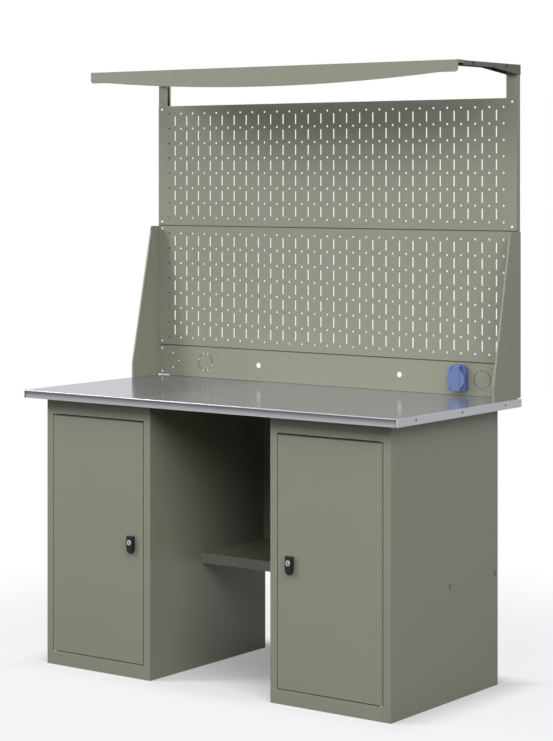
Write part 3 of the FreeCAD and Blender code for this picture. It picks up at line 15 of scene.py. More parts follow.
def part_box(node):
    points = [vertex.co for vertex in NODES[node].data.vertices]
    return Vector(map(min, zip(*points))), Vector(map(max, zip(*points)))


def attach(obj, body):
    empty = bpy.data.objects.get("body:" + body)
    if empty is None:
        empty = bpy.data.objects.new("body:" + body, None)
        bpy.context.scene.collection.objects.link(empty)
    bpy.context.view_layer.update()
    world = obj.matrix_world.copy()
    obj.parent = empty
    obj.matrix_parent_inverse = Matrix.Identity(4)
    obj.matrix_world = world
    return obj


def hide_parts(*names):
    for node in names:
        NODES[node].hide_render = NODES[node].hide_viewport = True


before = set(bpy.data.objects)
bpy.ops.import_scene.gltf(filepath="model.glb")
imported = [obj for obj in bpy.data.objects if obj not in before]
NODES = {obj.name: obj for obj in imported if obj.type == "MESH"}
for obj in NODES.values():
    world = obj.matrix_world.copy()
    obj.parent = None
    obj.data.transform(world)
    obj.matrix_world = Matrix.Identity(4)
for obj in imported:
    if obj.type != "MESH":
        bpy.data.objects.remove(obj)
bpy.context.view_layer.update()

SIDES = ("left", "right")

# Every length below is in metres.
# Level of the worktop, of the bottom of its edge, its front face and half its width.
TOP_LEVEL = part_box("worktop_cover")[1][2]
TOP_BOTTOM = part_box("worktop_cover")[0][2]
FRONT_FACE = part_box("worktop_cover")[0][1]
HALF_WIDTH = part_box("worktop_end_cap_right")[1][0]
# Levels at which the sheets of the back wall meet.
SEAM_LEVELS = [(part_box(low)[1][2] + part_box(high)[0][2]) / 2
               for low, high in (("socket_strip", "lower_perforated_panel"),
                                 ("lower_perforated_panel", "upper_perforated_panel"))]
# Footprint of the two cabinets on the floor.
FOOTPRINT = (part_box("left_cabinet_base")[0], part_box("right_cabinet_base")[1])
# Boxes of pieces on the right, which have mirrored twins on the left.
POST_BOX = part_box("right_post")
DOOR_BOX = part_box("right_door_panel")
ARM_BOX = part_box("right_hood_arm")
# Bottom and top of the two perforated panels together.
PANEL_LEVELS = (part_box("lower_perforated_panel")[0][2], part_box("upper_perforated_panel")[1][2])
# Middle of each pressed-in disc, across and up, the radius of its slit, and the degrees at which the left one's
# slit is open.
DISC_PLACES = ((-0.4955, 0.912), (0.576, 0.912))
DISC_RADIUS = 0.0285
OPEN_SLITS = (161, 104, 68, -19, -68, -110)
# Middles of the two holes of a hood arm: from its front, from its back, below its top.
ARM_HOLES = (0.0565, 0.084, 0.0075)
# Outline of a lock handle: level of its shoulder, radius of its nose and of its upper corners.
HANDLE_SHOULDER = -0.016
HANDLE_NOSE = 0.013
HANDLE_CORNER = 0.003
# Radius of a lock's barrel and of its cylinder's core, half the side of its square tail, and where the tail
# starts behind the door's face.
BARREL_RADIUS = 0.009
CORE_RADIUS = 0.0065
TAIL_HALF = 0.0035
TAIL_START = -0.0172
# Height of a side plug's cap and radius of its stem.
PLUG_CAP = 0.001
PLUG_STEM = 0.0048
# Length of a screw's thread from turn to turn.
SCREW_PITCH = 0.0012
# Points round a small turned shape, and round the larger ones of a lock.
ROUND_STEPS = 32
LOCK_STEPS = 48
# Edges flatter than this are shaded as one surface.
SMOOTH_ANGLE = math.radians(35)
# What the lamps look at, and half the side of the floor.
LAMP_TARGET = (0.0, 0.0, 0.9)
FLOOR_REACH = 30.0
# Node, finish, height of the head and radius of the shank of every kind of screw.
SCREW_KINDS = (
    ("end_cap_screws", "cap_screw_steel", 0.0009, 0.002),
    # The back wall's screws take zinc painted near white, a painted highlight on their heads.
    ("back_wall_screws", "bright_zinc", 0.0022, 0.002),
    ("wood_screws", "zinc_steel", 0.0022, 0.002),
    ("hood_screws", "zinc_steel", 0.0022, 0.002),
    ("socket_screws", "zinc_steel", 0.0022, 0.002),
    ("shelf_bolts", "zinc_steel", 0.0034, 0.003),
)

bl_info = {
    "name": "Workbench with cabinets",
    "version": (1, 0, 0),
    "blender": (4, 5, 0),
    "location": "3D View > Sidebar > Workbench",
    "description": "Finishes, small hardware and picture stage of a steel workbench",
    "category": "Object",
}


def linear(red, green, blue):
    """The linear colour of a shade given as it shows on a screen, from 0 to 255."""
    def channel(value):
        share = value / 255
        return share / 12.92 if share <= 0.04045 else ((share + 0.055) / 1.055) ** 2.4
    return (channel(red), channel(green), channel(blue))


def scaled(colour, factor):
    """A colour made darker or lighter by a factor."""
    return tuple(min(1.0, value * factor) for value in colour)


# Tones that aren't a user's choice: the rim of the worktop's cover, the sealed ends of its board, dust on low
# sheets, and the painted light where the slits of a disc are open.
RIM_TONE = linear(178, 179, 181)
BOARD_END_TONE = linear(120, 121, 122)
DUST_TONE = linear(150, 148, 138)
SLIT_PAINTED_LIGHT_TONE = linear(246, 246, 242)
# How bright these are next to their base colour: painted shade, the hood and the sheets between the cabinets
# (both darker as painted shade), and the part of the worktop's top painted lighter as painted reflection.
SHADED, HOOD_PAINTED_SHADE, SHELF_PAINTED_SHADE, TOP_PAINTED_REFLECTION = 0.10, 0.89, 0.80, 1.30


# ---------------------------------------------------------------- what a user would change

def colour_setting(name, shade, description):
    """A colour, from its shade on a screen."""
    return FloatVectorProperty(name=name, description=description, default=linear(*shade), min=0, max=1, size=3,
                               subtype="COLOR")


def length_setting(name, default, description):
    return FloatProperty(name=name, description=description, default=default, min=0, subtype="DISTANCE",
                         unit="LENGTH")


def share_setting(name, default, description):
    return FloatProperty(name=name, description=description, default=default, min=0, max=1, subtype="FACTOR")


def place_setting(name, default, description):
    return FloatVectorProperty(name=name, description=description, default=default, size=3,
                               subtype="TRANSLATION", unit="LENGTH")


def level_setting(name, default, description):
    return FloatProperty(name=name, description=description, default=default, min=0, max=2)


def power_setting(name, default, description):
    return FloatProperty(name=name, description=description, default=default, min=0, unit="POWER")


class BENCH_PG_stage(bpy.types.PropertyGroup):
    """The camera, the lamps and the floor of the picture."""

    camera_place: place_setting("Camera place", (3.9932, -5.3882, 1.5308), "Where the camera stands")
    camera_turn: FloatProperty(
        name="Camera turn", description="Turn of the level camera about the vertical",
        default=math.radians(36.31), subtype="ANGLE", unit="ROTATION")
    camera_lens: FloatProperty(
        name="Lens", description="Focal length in millimetres", default=105.8, min=1, unit="CAMERA")
    camera_shift: FloatProperty(
        name="Vertical shift", description="Shift of the picture, as a share of its long side", default=-0.262)
    left_place: place_setting("Left lamp place", (-5.5, -4.2, 4.6), "Middle of the soft lamp on the left")
    left_size: length_setting("Left lamp size", 2.5, "Side of the soft lamp on the left")
    left_power: power_setting("Left lamp power", 342, "Power of the soft lamp on the left")
    front_place: place_setting("Front lamp place", (1.5, -6.0, 5.0), "Middle of the soft lamp in front")
    front_size: length_setting("Front lamp size", 3.0, "Side of the soft lamp in front")
    front_power: power_setting("Front lamp power", 134, "Power of the soft lamp in front")
    side_place: place_setting("Side lamp place", (5.2, -3.4, 4.2), "Middle of the soft lamp on the right")
    side_size: length_setting("Side lamp size", 4.0, "Side of the soft lamp on the right")
    side_power: power_setting("Side lamp power", 308, "Power of the soft lamp on the right")
    top_place: place_setting("Top lamp place", (0.0, -1.0, 6.5), "Middle of the soft lamp above")
    top_size: length_setting("Top lamp size", 4.0, "Side of the soft lamp above")
    top_power: power_setting("Top lamp power", 168, "Power of the soft lamp above")
    sky_low: level_setting("Light at the horizon", 0.012, "Level of the soft light from all round, low down")
    sky_high: level_setting("Light from above", 0.175, "Level of the soft light from right above")
    floor_colour: colour_setting("Floor", (222, 222, 224), "Colour of the floor near the bench")
    floor_bounce: level_setting("Floor bounce", 0.155, "Share of the light that the floor sends back up")
    floor_level: level_setting("Floor level", 0.92, "Brightness of the floor where no shadow falls")
    shadow_near: share_setting("Shadow under the bench", 0.78, "Strength of the shadow under the bench")
    shadow_far: share_setting("Shadow beside the bench", 0.08, "Strength of the shadow beside the bench")
    shadow_reach: length_setting("Shadow reach", 0.15, "Distance from the bench over which its shadow weakens")
    floor_near: length_setting("Floor fade start", 0.9, "Distance at which the floor starts to turn white")
    floor_far: length_setting("Floor fade end", 2.2, "Distance at which the floor is white")


class BENCH_PG_finish(bpy.types.PropertyGroup):
    """The colours of the bench's finishes."""

    paint: colour_setting("Sheet paint", (132, 134, 119), "Olive grey powder paint of the sheet pieces")
    # Painted shade: the hood arms are painted darker than the other sheets in place of the shade on them.
    arm_shaded_paint: colour_setting("Hood arm paint", (84, 86, 77), "Darker powder paint of the hood arms")
    steel: colour_setting("Worktop steel", (188, 189, 193), "Bare sheet over the worktop")
    # Painted reflection: the front flange is painted dark at its top and pale at its foot, in place of the
    # floor reflected in it.
    flange: colour_setting("Front flange", (92, 93, 96), "Bare sheet of the worktop's front edge, at its top")
    painted_flange_foot: colour_setting("Front flange foot", (172, 173, 176), "The same sheet at its bottom")
    cap: colour_setting("End caps", (184, 185, 189), "Bare sheet of the worktop's ends")
    zinc: colour_setting("Zinc", (178, 180, 184), "Zinc plated fasteners")
    # Painted highlight: the back wall's screws are painted near white in place of the highlight on their heads.
    bright_zinc: colour_setting("Bright zinc", (232, 233, 236), "Zinc plated screws of the back wall")
    dark_steel: colour_setting("Blackened steel", (46, 46, 48), "Screws of the worktop's end sheets")
    handle: colour_setting("Handle plastic", (22, 23, 22), "Black plastic of the lock handles")
    cylinder: colour_setting("Lock cylinder", (168, 169, 172), "Bright metal of the lock cylinders")
    plug: colour_setting("Plug plastic", (92, 95, 86), "Round plugs in the cabinet sides")
    board: colour_setting("Chipboard", (176, 140, 98), "Core of the worktop")
    nylon: colour_setting("Nylon", (222, 219, 208), "Hinge washers")
    socket: colour_setting("Socket housing", (80, 96, 152), "Blue housing of the socket")
    lid: colour_setting("Socket lid", (90, 108, 156), "Blue lid of the socket")
    carrier: colour_setting("Contact carrier", (84, 94, 128), "Plastic that holds the socket's contacts")
    brass: colour_setting("Contact brass", (196, 160, 92), "Contacts and earth clips")


class BENCH_PG_hardware(bpy.types.PropertyGroup):
    """The sizes of the small hardware that the model only shows in outline."""

    cross_length: share_setting("Cross recess length", 0.46, "Length of the cross recess across a screw head")
    cross_width: share_setting("Cross recess width", 0.15, "Width of the cross recess across a screw head")
    cross_depth: length_setting("Cross recess depth", 0.0012, "Depth of the cross recess")
    plug_dish: length_setting("Plug dish", 0.0004, "Depth of the dished middle of a side plug")
    collar_width: length_setting("Collar width", 0.0032, "Width of the ring round the lock cylinder")
    collar_height: length_setting("Collar height", 0.0019, "Height of that ring over the handle")
    crown: length_setting("Handle crown", 0.0006, "Rise of the handle's face towards its middle")
    key_slot_width: length_setting("Key slot width", 0.0026, "Width of the key slot")
    key_slot_height: length_setting("Key slot height", 0.0082, "Height of the key slot")
    thread_pitch: length_setting("Thread pitch", 0.0015, "Pitch of the thread on the lock barrel")


# ---------------------------------------------------------------- materials

class Wire:
    """A value or colour on its way through a material. Arithmetic on it adds the Math nodes it needs."""

    def __init__(self, finish, socket):
        self.finish = finish
        self.socket = socket

    def math(self, operation, first, second=None):
        values = {0: first} if second is None else {0: first, 1: second}
        return self.finish.node("ShaderNodeMath", {"operation": operation}, values)

    def __add__(self, other):
        return self.math("ADD", self, other)

    def __radd__(self, other):
        return self.math("ADD", other, self)

    def __sub__(self, other):
        return self.math("SUBTRACT", self, other)

    def __rsub__(self, other):
        return self.math("SUBTRACT", other, self)

    def __mul__(self, other):
        return self.math("MULTIPLY", self, other)

    def __pow__(self, other):
        return self.math("POWER", self, other)

    def __abs__(self):
        return self.math("ABSOLUTE", self)

    def step(self, low, high):
        """0 below low, 1 above high, and smooth between them."""
        return self.finish.node("ShaderNodeMapRange", {"interpolation_type": "SMOOTHSTEP"},
                                {"Value": self, "From Min": low, "From Max": high})


class Finish:
    """Nodes of one material, or of the world, with short ways to add the ones that the finishes share."""

    def __init__(self, owner):
        owner.use_nodes = True
        self.owner = owner
        self.tree = owner.node_tree
        self.tree.nodes.clear()

    def node(self, kind, settings=None, sockets=None, output=0):
        """Adds a node with its settings, then its sockets' values or wires, and gives the wire of an output."""
        made = self.tree.nodes.new(kind)
        for name, value in (settings or {}).items():
            setattr(made, name, value)
        for name, value in (sockets or {}).items():
            target = made.inputs[name]
            if isinstance(value, Wire):
                self.tree.links.new(value.socket, target)
            elif target.type == "RGBA" and len(value) == 3:
                target.default_value = (*value, 1)
            else:
                target.default_value = value
        return Wire(self, made.outputs[output]) if made.outputs else None

    def place(self):
        """Where a point lies on the bench, in metres."""
        return self.node("ShaderNodeTexCoord", output="Object")

    def split(self, vector):
        """The three numbers of a place."""
        first = self.node("ShaderNodeSeparateXYZ", sockets={0: vector})
        return [Wire(self, socket) for socket in first.socket.node.outputs]

    def stretch(self, vector, factors):
        """A place with each of its three numbers multiplied, so that noise on it is drawn out or squeezed."""
        return self.node("ShaderNodeVectorMath", {"operation": "MULTIPLY"}, {0: vector, 1: factors})

    def noise(self, vector, scale, detail, rough):
        """Soft noise about 0.5."""
        return self.node("ShaderNodeTexNoise", {}, {"Vector": vector, "Scale": scale, "Detail": detail,
                                                    "Roughness": rough})

    def mix(self, first, second, share):
        """A colour between two colours."""
        return self.node("ShaderNodeMix", {"data_type": "RGBA"}, {0: share, 6: first, 7: second}, output=2)

    def bump(self, height, distance, strength):
        """Relief that is as deep as the distance."""
        return self.node("ShaderNodeBump", {}, {"Height": height, "Distance": distance, "Strength": strength})

    def surface(self, **sockets):
        """The shader itself, by the names of its sockets with underscores for spaces."""
        named = {name.replace("_", " "): value for name, value in sockets.items()}
        shader = self.node("ShaderNodeBsdfPrincipled", {}, named)
        self.node("ShaderNodeOutputMaterial", {}, {"Surface": shader})
        return self.owner


def new_finish(name):
    return Finish(bpy.data.materials.new(name))


def highest(wires):
    """The highest of several values at every point."""
    most = wires[0]
    for wire in wires[1:]:
        most = most.math("MAXIMUM", most, wire)
    return most


def span(first, second):
    """The distance that two steps at right angles make."""
    return (first * first + second * second) ** 0.5


def outside_of(value, low, high):
    """How far a value lies outside two limits, and below 0 how far inside."""
    return abs(value - (low + high) / 2) - (high - low) / 2


# Each of these gives the share, from 0 to 1, of painted shade (painted light at the slit) at a place on the
# bench.

def seam_shade(finish, place):
    """Painted shade in lines where the sheets of the back wall meet, and round the pressed-in discs of its
    strip.
    """
    across, _, height = finish.split(place)
    lines = [1 - abs(height - level).step(0.0011, 0.0023) for level in SEAM_LEVELS]
    for middle_across, middle_height in DISC_PLACES:
        radius = span(across - middle_across, height - middle_height)
        lines.append(1 - abs(radius - DISC_RADIUS).step(0.0007, 0.0016))
    return highest(lines) * 0.9


def slit_painted_light(finish, place):
    """Painted light: near-white spots where the slit round the left disc is open."""
    across, _, height = finish.split(place)
    middle_across, middle_height = DISC_PLACES[0]
    spots = []
    for turn in map(math.radians, OPEN_SLITS):
        aside = across - (middle_across + DISC_RADIUS * math.cos(turn))
        over = height - (middle_height + DISC_RADIUS * math.sin(turn))
        spots.append(1 - span(aside, over).step(0.0014, 0.0026))
    return highest(spots)


def contact_shade(finish, place):
    """Painted shade: the front of a post and the edge behind it made dark where the perforated panels lie on
    them.
    """
    across, along, height = finish.split(place)
    front, outer = POST_BOX[0][1], POST_BOX[1][0]
    low, high = PANEL_LEVELS
    covered = (1 - abs(across).step(outer - 0.0006, outer - 0.0003))
    covered = covered * (1 - along.step(front + 0.009, front + 0.011))
    return covered * height.step(low, low + 0.001) * (1 - height.step(high - 0.001, high))


def overhang_shade(finish, place):
    """The shadowed fronts of the cabinets right below the worktop."""
    _, along, height = finish.split(place)
    drop = TOP_BOTTOM - height
    band = (1 - drop.step(0.001, 0.020)) * drop.step(-0.005, -0.004)
    door_face = DOOR_BOX[0][1]
    return band * (1 - along.step(door_face + 0.004, door_face + 0.006)) * 0.80


def gap_shade(finish, place):
    """Painted shade on the bends of a door beside the gap all round it, widest along the top."""
    across, _, height = finish.split(place)
    (inner, _, low), (outer, _, high) = DOOR_BOX
    side, bottom, top = outside_of(abs(across), inner, outer), low - height, height - high
    return highest([side + 0.0011, bottom + 0.0011, top + 0.0034]).step(0.0, 0.0005) * 0.95


def arm_hole_shade(finish, place):
    """Painted shade on the rims of the holes in a hood arm, and on the inside of the arm behind them."""
    across, along, height = finish.split(place)
    front, back, drop = ARM_HOLES
    (inner, first, _), (outer, last, top) = ARM_BOX
    inside = abs(across).step(inner + 0.0004, inner + 0.0008)
    inside = inside * (1 - abs(across).step(outer - 0.0008, outer - 0.0004))
    inside = inside * (1 - height.step(top - 0.0008, top - 0.0004))
    rims = []
    for middle in (first + front, last - back):
        radius = span(along - middle, height - (top - drop))
        rims += [1 - radius.step(0.0062, 0.0078), inside * (1 - radius.step(0.016, 0.020))]
    return highest(rims) * 0.95


def powder_paint(name, colour, shade=None, spots=None):
    """Powder paint: slightly uneven in tone, with the fine peel of the baked powder and faint wipe marks,
    darker where a painted shade lies on it and nearly white at its spots of painted light."""
    finish = new_finish(name)
    place = finish.place()
    cloud = finish.noise(place, 2.6, 3.0, 0.6)
    grit = finish.noise(place, 900.0, 2.0, 0.6)
    peel = finish.noise(place, 360.0, 2.0, 0.45)
    wipe = finish.noise(finish.stretch(place, (3.0, 3.0, 22.0)), 1.5, 3.0, 0.6)
    height = finish.split(place)[2]
    dust = (1 - height.step(0.0, 0.16)) * cloud
    tone = cloud * 0.55 + grit * 0.45
    tint = finish.mix(scaled(colour, 0.93), scaled(colour, 1.07), tone)
    tint = finish.mix(tint, DUST_TONE, dust * 0.10)
    if shade:
        tint = finish.mix(tint, scaled(colour, SHADED), shade(finish, place))
    # Spots of painted light, near white.
    if spots:
        tint = finish.mix(tint, SLIT_PAINTED_LIGHT_TONE, spots(finish, place))
    rough = 0.36 + wipe * 0.08 + grit * 0.06 + dust * 0.06
    relief = finish.bump(peel * 0.7 + grit * 0.3, 0.00006, 0.5)
    return finish.surface(Base_Color=tint, Roughness=rough, Normal=relief, IOR=1.42)


def rolled_steel(name, colours):
    """Bare cold rolled sheet: long fine rolling lines, soft grey clouds and rub marks on its top, which is
    painted lighter right of its left end as painted reflection, and edges painted as a reflection of the floor,
    dark at the top of the front flange and pale at its foot, and paler at the ends."""
    top, flange, painted_flange_foot, cap, rim = colours
    finish = new_finish(name)
    place = finish.place()
    lines = finish.noise(finish.stretch(place, (5.0, 240.0, 240.0)), 5.0, 3.0, 0.6)
    fine = finish.noise(finish.stretch(place, (30.0, 900.0, 900.0)), 3.0, 2.0, 0.5)
    cloud = finish.noise(place, 3.4, 4.0, 0.6)
    rub = finish.noise(finish.stretch(place, (9.0, 3.0, 9.0)), 2.2, 5.0, 0.7)
    across, along, height = finish.split(place)
    edge = 1 - height.step(TOP_LEVEL - 0.0016, TOP_LEVEL - 0.0010)
    end = abs(across).step(HALF_WIDTH - 0.0006, HALF_WIDTH - 0.0002) * edge
    foot = height.step(TOP_BOTTOM + 0.0026, TOP_BOTTOM + 0.0032)
    front = (1 - along.step(FRONT_FACE + 0.0006, FRONT_FACE + 0.0012)) * edge * foot
    # Painted reflection: the top is painted lighter from near its left end onwards.
    top_with_painted_reflection = finish.mix(top, scaled(top, TOP_PAINTED_REFLECTION), across.step(-0.30, -0.22))
    sheet_and_painted_reflection = finish.mix(top_with_painted_reflection, cap, end)
    sheet_and_painted_reflection = finish.mix(sheet_and_painted_reflection, rim, edge * (1 - end) * (1 - front))
    behind_rim = along.step(FRONT_FACE + 0.0008, FRONT_FACE + 0.0011) * edge
    # Painted reflection of the floor on the front flange: dark below the rim, pale towards the foot.
    flange_painted_reflection = finish.mix(painted_flange_foot, flange, height.step(TOP_BOTTOM + 0.003, TOP_LEVEL - 0.002))
    sheet_and_painted_reflection = finish.mix(sheet_and_painted_reflection, flange_painted_reflection, behind_rim * foot * (1 - end))
    tone = lines * 0.22 + fine * 0.18 + cloud * 0.60
    tint = finish.mix(sheet_and_painted_reflection, (0.0, 0.0, 0.0), (1 - tone) * 0.16)
    rough = 0.10 + cloud * 0.05 + rub.step(0.5, 0.75) * 0.05 + fine * 0.03
    relief = finish.bump(lines * 0.6 + fine * 0.4, 0.00001, 0.4)
    return finish.surface(Base_Color=tint, Metallic=0.70, Roughness=rough, Normal=relief,
                          Specular_Tint=(0.62, 0.63, 0.66, 1.0))


def plated_metal(name, colour, rough_level, patch=0.12):
    """Plated or blackened small metal: mottled tone and fine tool marks."""
    finish = new_finish(name)
    place = finish.place()
    mottle = finish.noise(place, 320.0, 3.0, 0.6)
    marks = finish.noise(finish.stretch(place, (1.0, 1.0, 6.0)), 1400.0, 2.0, 0.5)
    tint = finish.mix(scaled(colour, 1 - patch), scaled(colour, 1 + patch), mottle)
    rough = rough_level + mottle * 0.12 + marks * 0.08
    relief = finish.bump(mottle * 0.5 + marks * 0.5, 0.00002, 0.4)
    return finish.surface(Base_Color=tint, Metallic=1.0, Roughness=rough, Normal=relief)


def moulded_plastic(name, colour, rough_level, grain=700.0, relief_depth=0.00003, density=1.5):
    """Moulded plastic with the fine grain of its mould and faint flow marks."""
    finish = new_finish(name)
    place = finish.place()
    flow = finish.noise(place, 40.0, 3.0, 0.6)
    pits = finish.noise(place, grain, 2.0, 0.6)
    tint = finish.mix(scaled(colour, 0.94), scaled(colour, 1.06), flow * 0.6 + pits * 0.4)
    rough = rough_level + flow * 0.08 + pits * 0.08
    return finish.surface(Base_Color=tint, Roughness=rough, Normal=finish.bump(pits, relief_depth, 0.6),
                          IOR=density)


def chipboard(name, colour):
    """Pressed wood chips of mixed size and tone, sealed grey at the ends."""
    finish = new_finish(name)
    place = finish.place()
    settings = {"feature": "F1", "distance": "EUCLIDEAN"}
    chips = finish.node("ShaderNodeTexVoronoi", settings,
                        {"Vector": finish.stretch(place, (1.0, 1.0, 2.4)), "Scale": 230.0}, output="Color")
    tone = finish.split(chips)[0]
    fibre = finish.noise(finish.stretch(place, (1.0, 5.0, 3.0)), 420.0, 3.0, 0.6)
    tint = finish.mix(scaled(colour, 0.55), scaled(colour, 1.25), tone * 0.7 + fibre * 0.3)
    sealed = abs(finish.split(place)[0]).step(HALF_WIDTH - 0.006, HALF_WIDTH - 0.005)
    tint = finish.mix(tint, BOARD_END_TONE, sealed)
    relief = finish.bump(tone * 0.6 + fibre * 0.4, 0.0003, 0.6)
    return finish.surface(Base_Color=tint, Roughness=0.78 + fibre * 0.12, Normal=relief)


def make_finishes(settings):
    """Every finish of the bench, by a short name."""
    steels = (settings.steel, settings.flange, settings.painted_flange_foot, settings.cap, RIM_TONE)
    return {
        "olive_paint": powder_paint("olive_powder_paint", settings.paint, overhang_shade),
        # Painted shade: the hood and the sheets between the cabinets take darker copies of the sheet paint.
        "hood_shaded_paint": powder_paint("hood_powder_paint", scaled(settings.paint, HOOD_PAINTED_SHADE)),
        "shelf_shaded_paint": powder_paint("shelf_powder_paint", scaled(settings.paint, SHELF_PAINTED_SHADE)),
        # The back wall has painted shade at its seams and painted light at the left disc's slit.
        "back_wall_paint": powder_paint("back_wall_powder_paint", settings.paint, seam_shade, slit_painted_light),
        "post_paint": powder_paint("post_powder_paint", settings.paint, contact_shade),
        "door_paint": powder_paint("door_powder_paint", settings.paint, gap_shade),
        # The hood arms' darker paint is painted shade, with more painted shade round their holes.
        "arm_shaded_paint": powder_paint("hood_arm_powder_paint", settings.arm_shaded_paint, arm_hole_shade),
        "worktop_steel": rolled_steel("worktop_rolled_steel", steels),
        "board": chipboard("worktop_chipboard", settings.board),
        "cap_screw_steel": plated_metal("blackened_screw_steel", settings.dark_steel, 0.32),
        "zinc_steel": plated_metal("zinc_plated_steel", settings.zinc, 0.26),
        # Zinc painted near white as a painted highlight.
        "bright_zinc": plated_metal("bright_zinc_plated_steel", settings.bright_zinc, 0.22, 0.06),
        "cylinder_metal": plated_metal("lock_cylinder_metal", settings.cylinder, 0.24, 0.05),
        "black_plastic": moulded_plastic("handle_black_plastic", settings.handle, 0.40, 900.0, 0.00005, 1.3),
        "nylon": moulded_plastic("white_nylon", settings.nylon, 0.42),
        "plug_plastic": moulded_plastic("side_plug_plastic", settings.plug, 0.45),
        "socket_blue": moulded_plastic("socket_housing_plastic", settings.socket, 0.38),
        "lid_blue": moulded_plastic("socket_lid_plastic", settings.lid, 0.32),
        "carrier_plastic": moulded_plastic("contact_carrier_plastic", settings.carrier, 0.40),
        "brass": plated_metal("contact_brass", settings.brass, 0.24),
    }


# The finishes by their short names, made when the first piece needs one.
FINISHES = {}
# The nodes of the model that each finish covers.
FINISH_NODES = {
    "worktop_steel": ["worktop_cover", "worktop_end_cap_left", "worktop_end_cap_right"],
    "board": ["worktop_board"],
    "zinc_steel": ["shelf_nuts", "socket_lid_pin"],
    # The hood arms take the darker paint that stands for painted shade.
    "arm_shaded_paint": ["left_hood_arm", "right_hood_arm"],
    # Darker copies of the paint, as painted shade, on the hood, the middle shelf and the knee panel.
    "hood_shaded_paint": ["hood"],
    "shelf_shaded_paint": ["middle_shelf", "knee_panel"],
    "post_paint": ["left_post", "right_post"],
    "door_paint": ["left_door_panel", "right_door_panel"],
    "back_wall_paint": ["socket_strip", "lower_perforated_panel", "upper_perforated_panel"],
    "nylon": [],
    "socket_blue": ["socket_housing"],
    "lid_blue": ["socket_lid"],
    "carrier_plastic": ["socket_contact_carrier"],
    "brass": ["socket_contacts", "socket_earth_clips"],
}
for side in SIDES:
    FINISH_NODES["zinc_steel"] += [f"{side}_hinge_pins", f"{side}_lock_nut", f"{side}_lock_cam"]
    FINISH_NODES["nylon"].append(f"{side}_hinge_washer")
# The nodes that are rebuilt as new pieces.
REBUILT = ["end_cap_screws", "back_wall_screws", "wood_screws", "hood_screws", "socket_screws", "shelf_bolts",
           "side_plugs", *(f"{side}_lock_{name}" for side in SIDES for name in ("handle", "cylinder"))]


def finishes():
    """Every finish by its short name, made on first use."""
    if not FINISHES:
        FINISHES.update(make_finishes(bpy.context.scene.bench_finish))
    return FINISHES


def dress(slots):
    """Gives nodes of the model their finish."""
    for slot in slots:
        for node in FINISH_NODES[slot]:
            shape = NODES[node].data
            shape.materials.clear()
            shape.materials.append(finishes()[slot])


# ---------------------------------------------------------------- shapes

def turns(count):
    """The angles of a full turn in equal steps."""
    return [2 * math.pi * step / count for step in range(count)]


def turned(profile, count=ROUND_STEPS):
    """Circles of points round the axis, from their radii and their levels along it."""
    return [[(radius * math.cos(turn), radius * math.sin(turn), level) for turn in turns(count)]
            for radius, level in profile]


def cross_loop(radius, half, level):
    """The outline of a cross recess: four arms of a length and a half width."""
    points = []
    for turn in turns(ROUND_STEPS):
        along, across = abs(math.cos(turn)), abs(math.sin(turn))
        long, short = max(along, across), min(along, across)
        reach = min(radius / long, half / max(short, 1e-6))
        points.append((reach * math.cos(turn), reach * math.sin(turn), level))
    return points


def box_loop(half_across, half_along, level):
    """The outline of a rectangle, with as many points as a circle of a lock has."""
    points = []
    for turn in turns(LOCK_STEPS):
        reach = min(half_across / max(abs(math.cos(turn)), 1e-6), half_along / max(abs(math.sin(turn)), 1e-6))
        points.append((reach * math.cos(turn), reach * math.sin(turn), level))
    return points


def skin(shape, loops, placing):
    """Adds a closed body through loops of points, each with as many points as the next."""
    rows = [[shape.verts.new(placing @ Vector(point)) for point in loop] for loop in loops]
    for low, high in zip(rows, rows[1:]):
        for index in range(len(low)):
            after = (index + 1) % len(low)
            shape.faces.new((low[index], low[after], high[after], high[index]))
    shape.faces.new(tuple(reversed(rows[0])))
    shape.faces.new(tuple(rows[-1]))


def axis_frame(place, axis):
    """A frame whose third direction is the axis, and whose second lies as near to the vertical as it can."""
    third = Vector(axis).normalized()
    up = Vector((0, 0, 1)) if abs(third.z) < 0.9 else Vector((0, 1, 0))
    first = up.cross(third).normalized()
    second = third.cross(first)
    turn = Matrix((first, second, third)).transposed().to_4x4()
    return Matrix.Translation(Vector(place)) @ turn


def solids_of(node):
    """The lowest and highest corner of every separate solid of a node."""
    shape = NODES[node].data
    parent = {}

    def root(key):
        while parent[key] != key:
            parent[key] = parent[parent[key]]
            key = parent[key]
        return key

    keys = [tuple(round(value, 6) for value in vertex.co) for vertex in shape.vertices]
    for key in keys:
        parent.setdefault(key, key)
    for face in shape.polygons:
        first = root(keys[face.vertices[0]])
        for index in face.vertices[1:]:
            parent[root(keys[index])] = first
    groups = {}
    for key in parent:
        groups.setdefault(root(key), []).append(key)
    boxes = []
    for points in groups.values():
        low = Vector([min(point[axis] for point in points) for axis in range(3)])
        high = Vector([max(point[axis] for point in points) for axis in range(3)])
        boxes.append((low, high))
    return sorted(boxes, key=lambda box: tuple(box[0]))


def finish_piece(name, shape, slot, node, body="root"):
    """Turns a built shape into a piece that stands for a node of the model."""
    bmesh.ops.recalc_face_normals(shape, faces=shape.faces)
    mesh = bpy.data.meshes.new(name)
    shape.to_mesh(mesh)
    shape.free()
    mesh.materials.append(finishes()[slot])
    mesh.shade_smooth()
    mesh.set_sharp_from_angle(angle=SMOOTH_ANGLE)
    piece = bpy.data.objects.new(name, mesh)
    bpy.context.scene.collection.objects.link(piece)
    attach(piece, body)
    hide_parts(node)


def head_seat(box, axis, dome):
    """Where a screw's head rests, and how far its shank reaches, from the box of its solid."""
    low, high = box
    middle = (low + high) / 2
    length = sum(abs(part) * (top - base) for part, base, top in zip(axis, low, high))
    seat = middle + Vector(axis) * (length / 2 - dome)
    return seat, length - dome


def head_radius(box, axis):
    """Half the width of a solid across its axis."""
    return max((high - low) / 2 for low, high, part in zip(*box, axis) if abs(part) < 0.5)


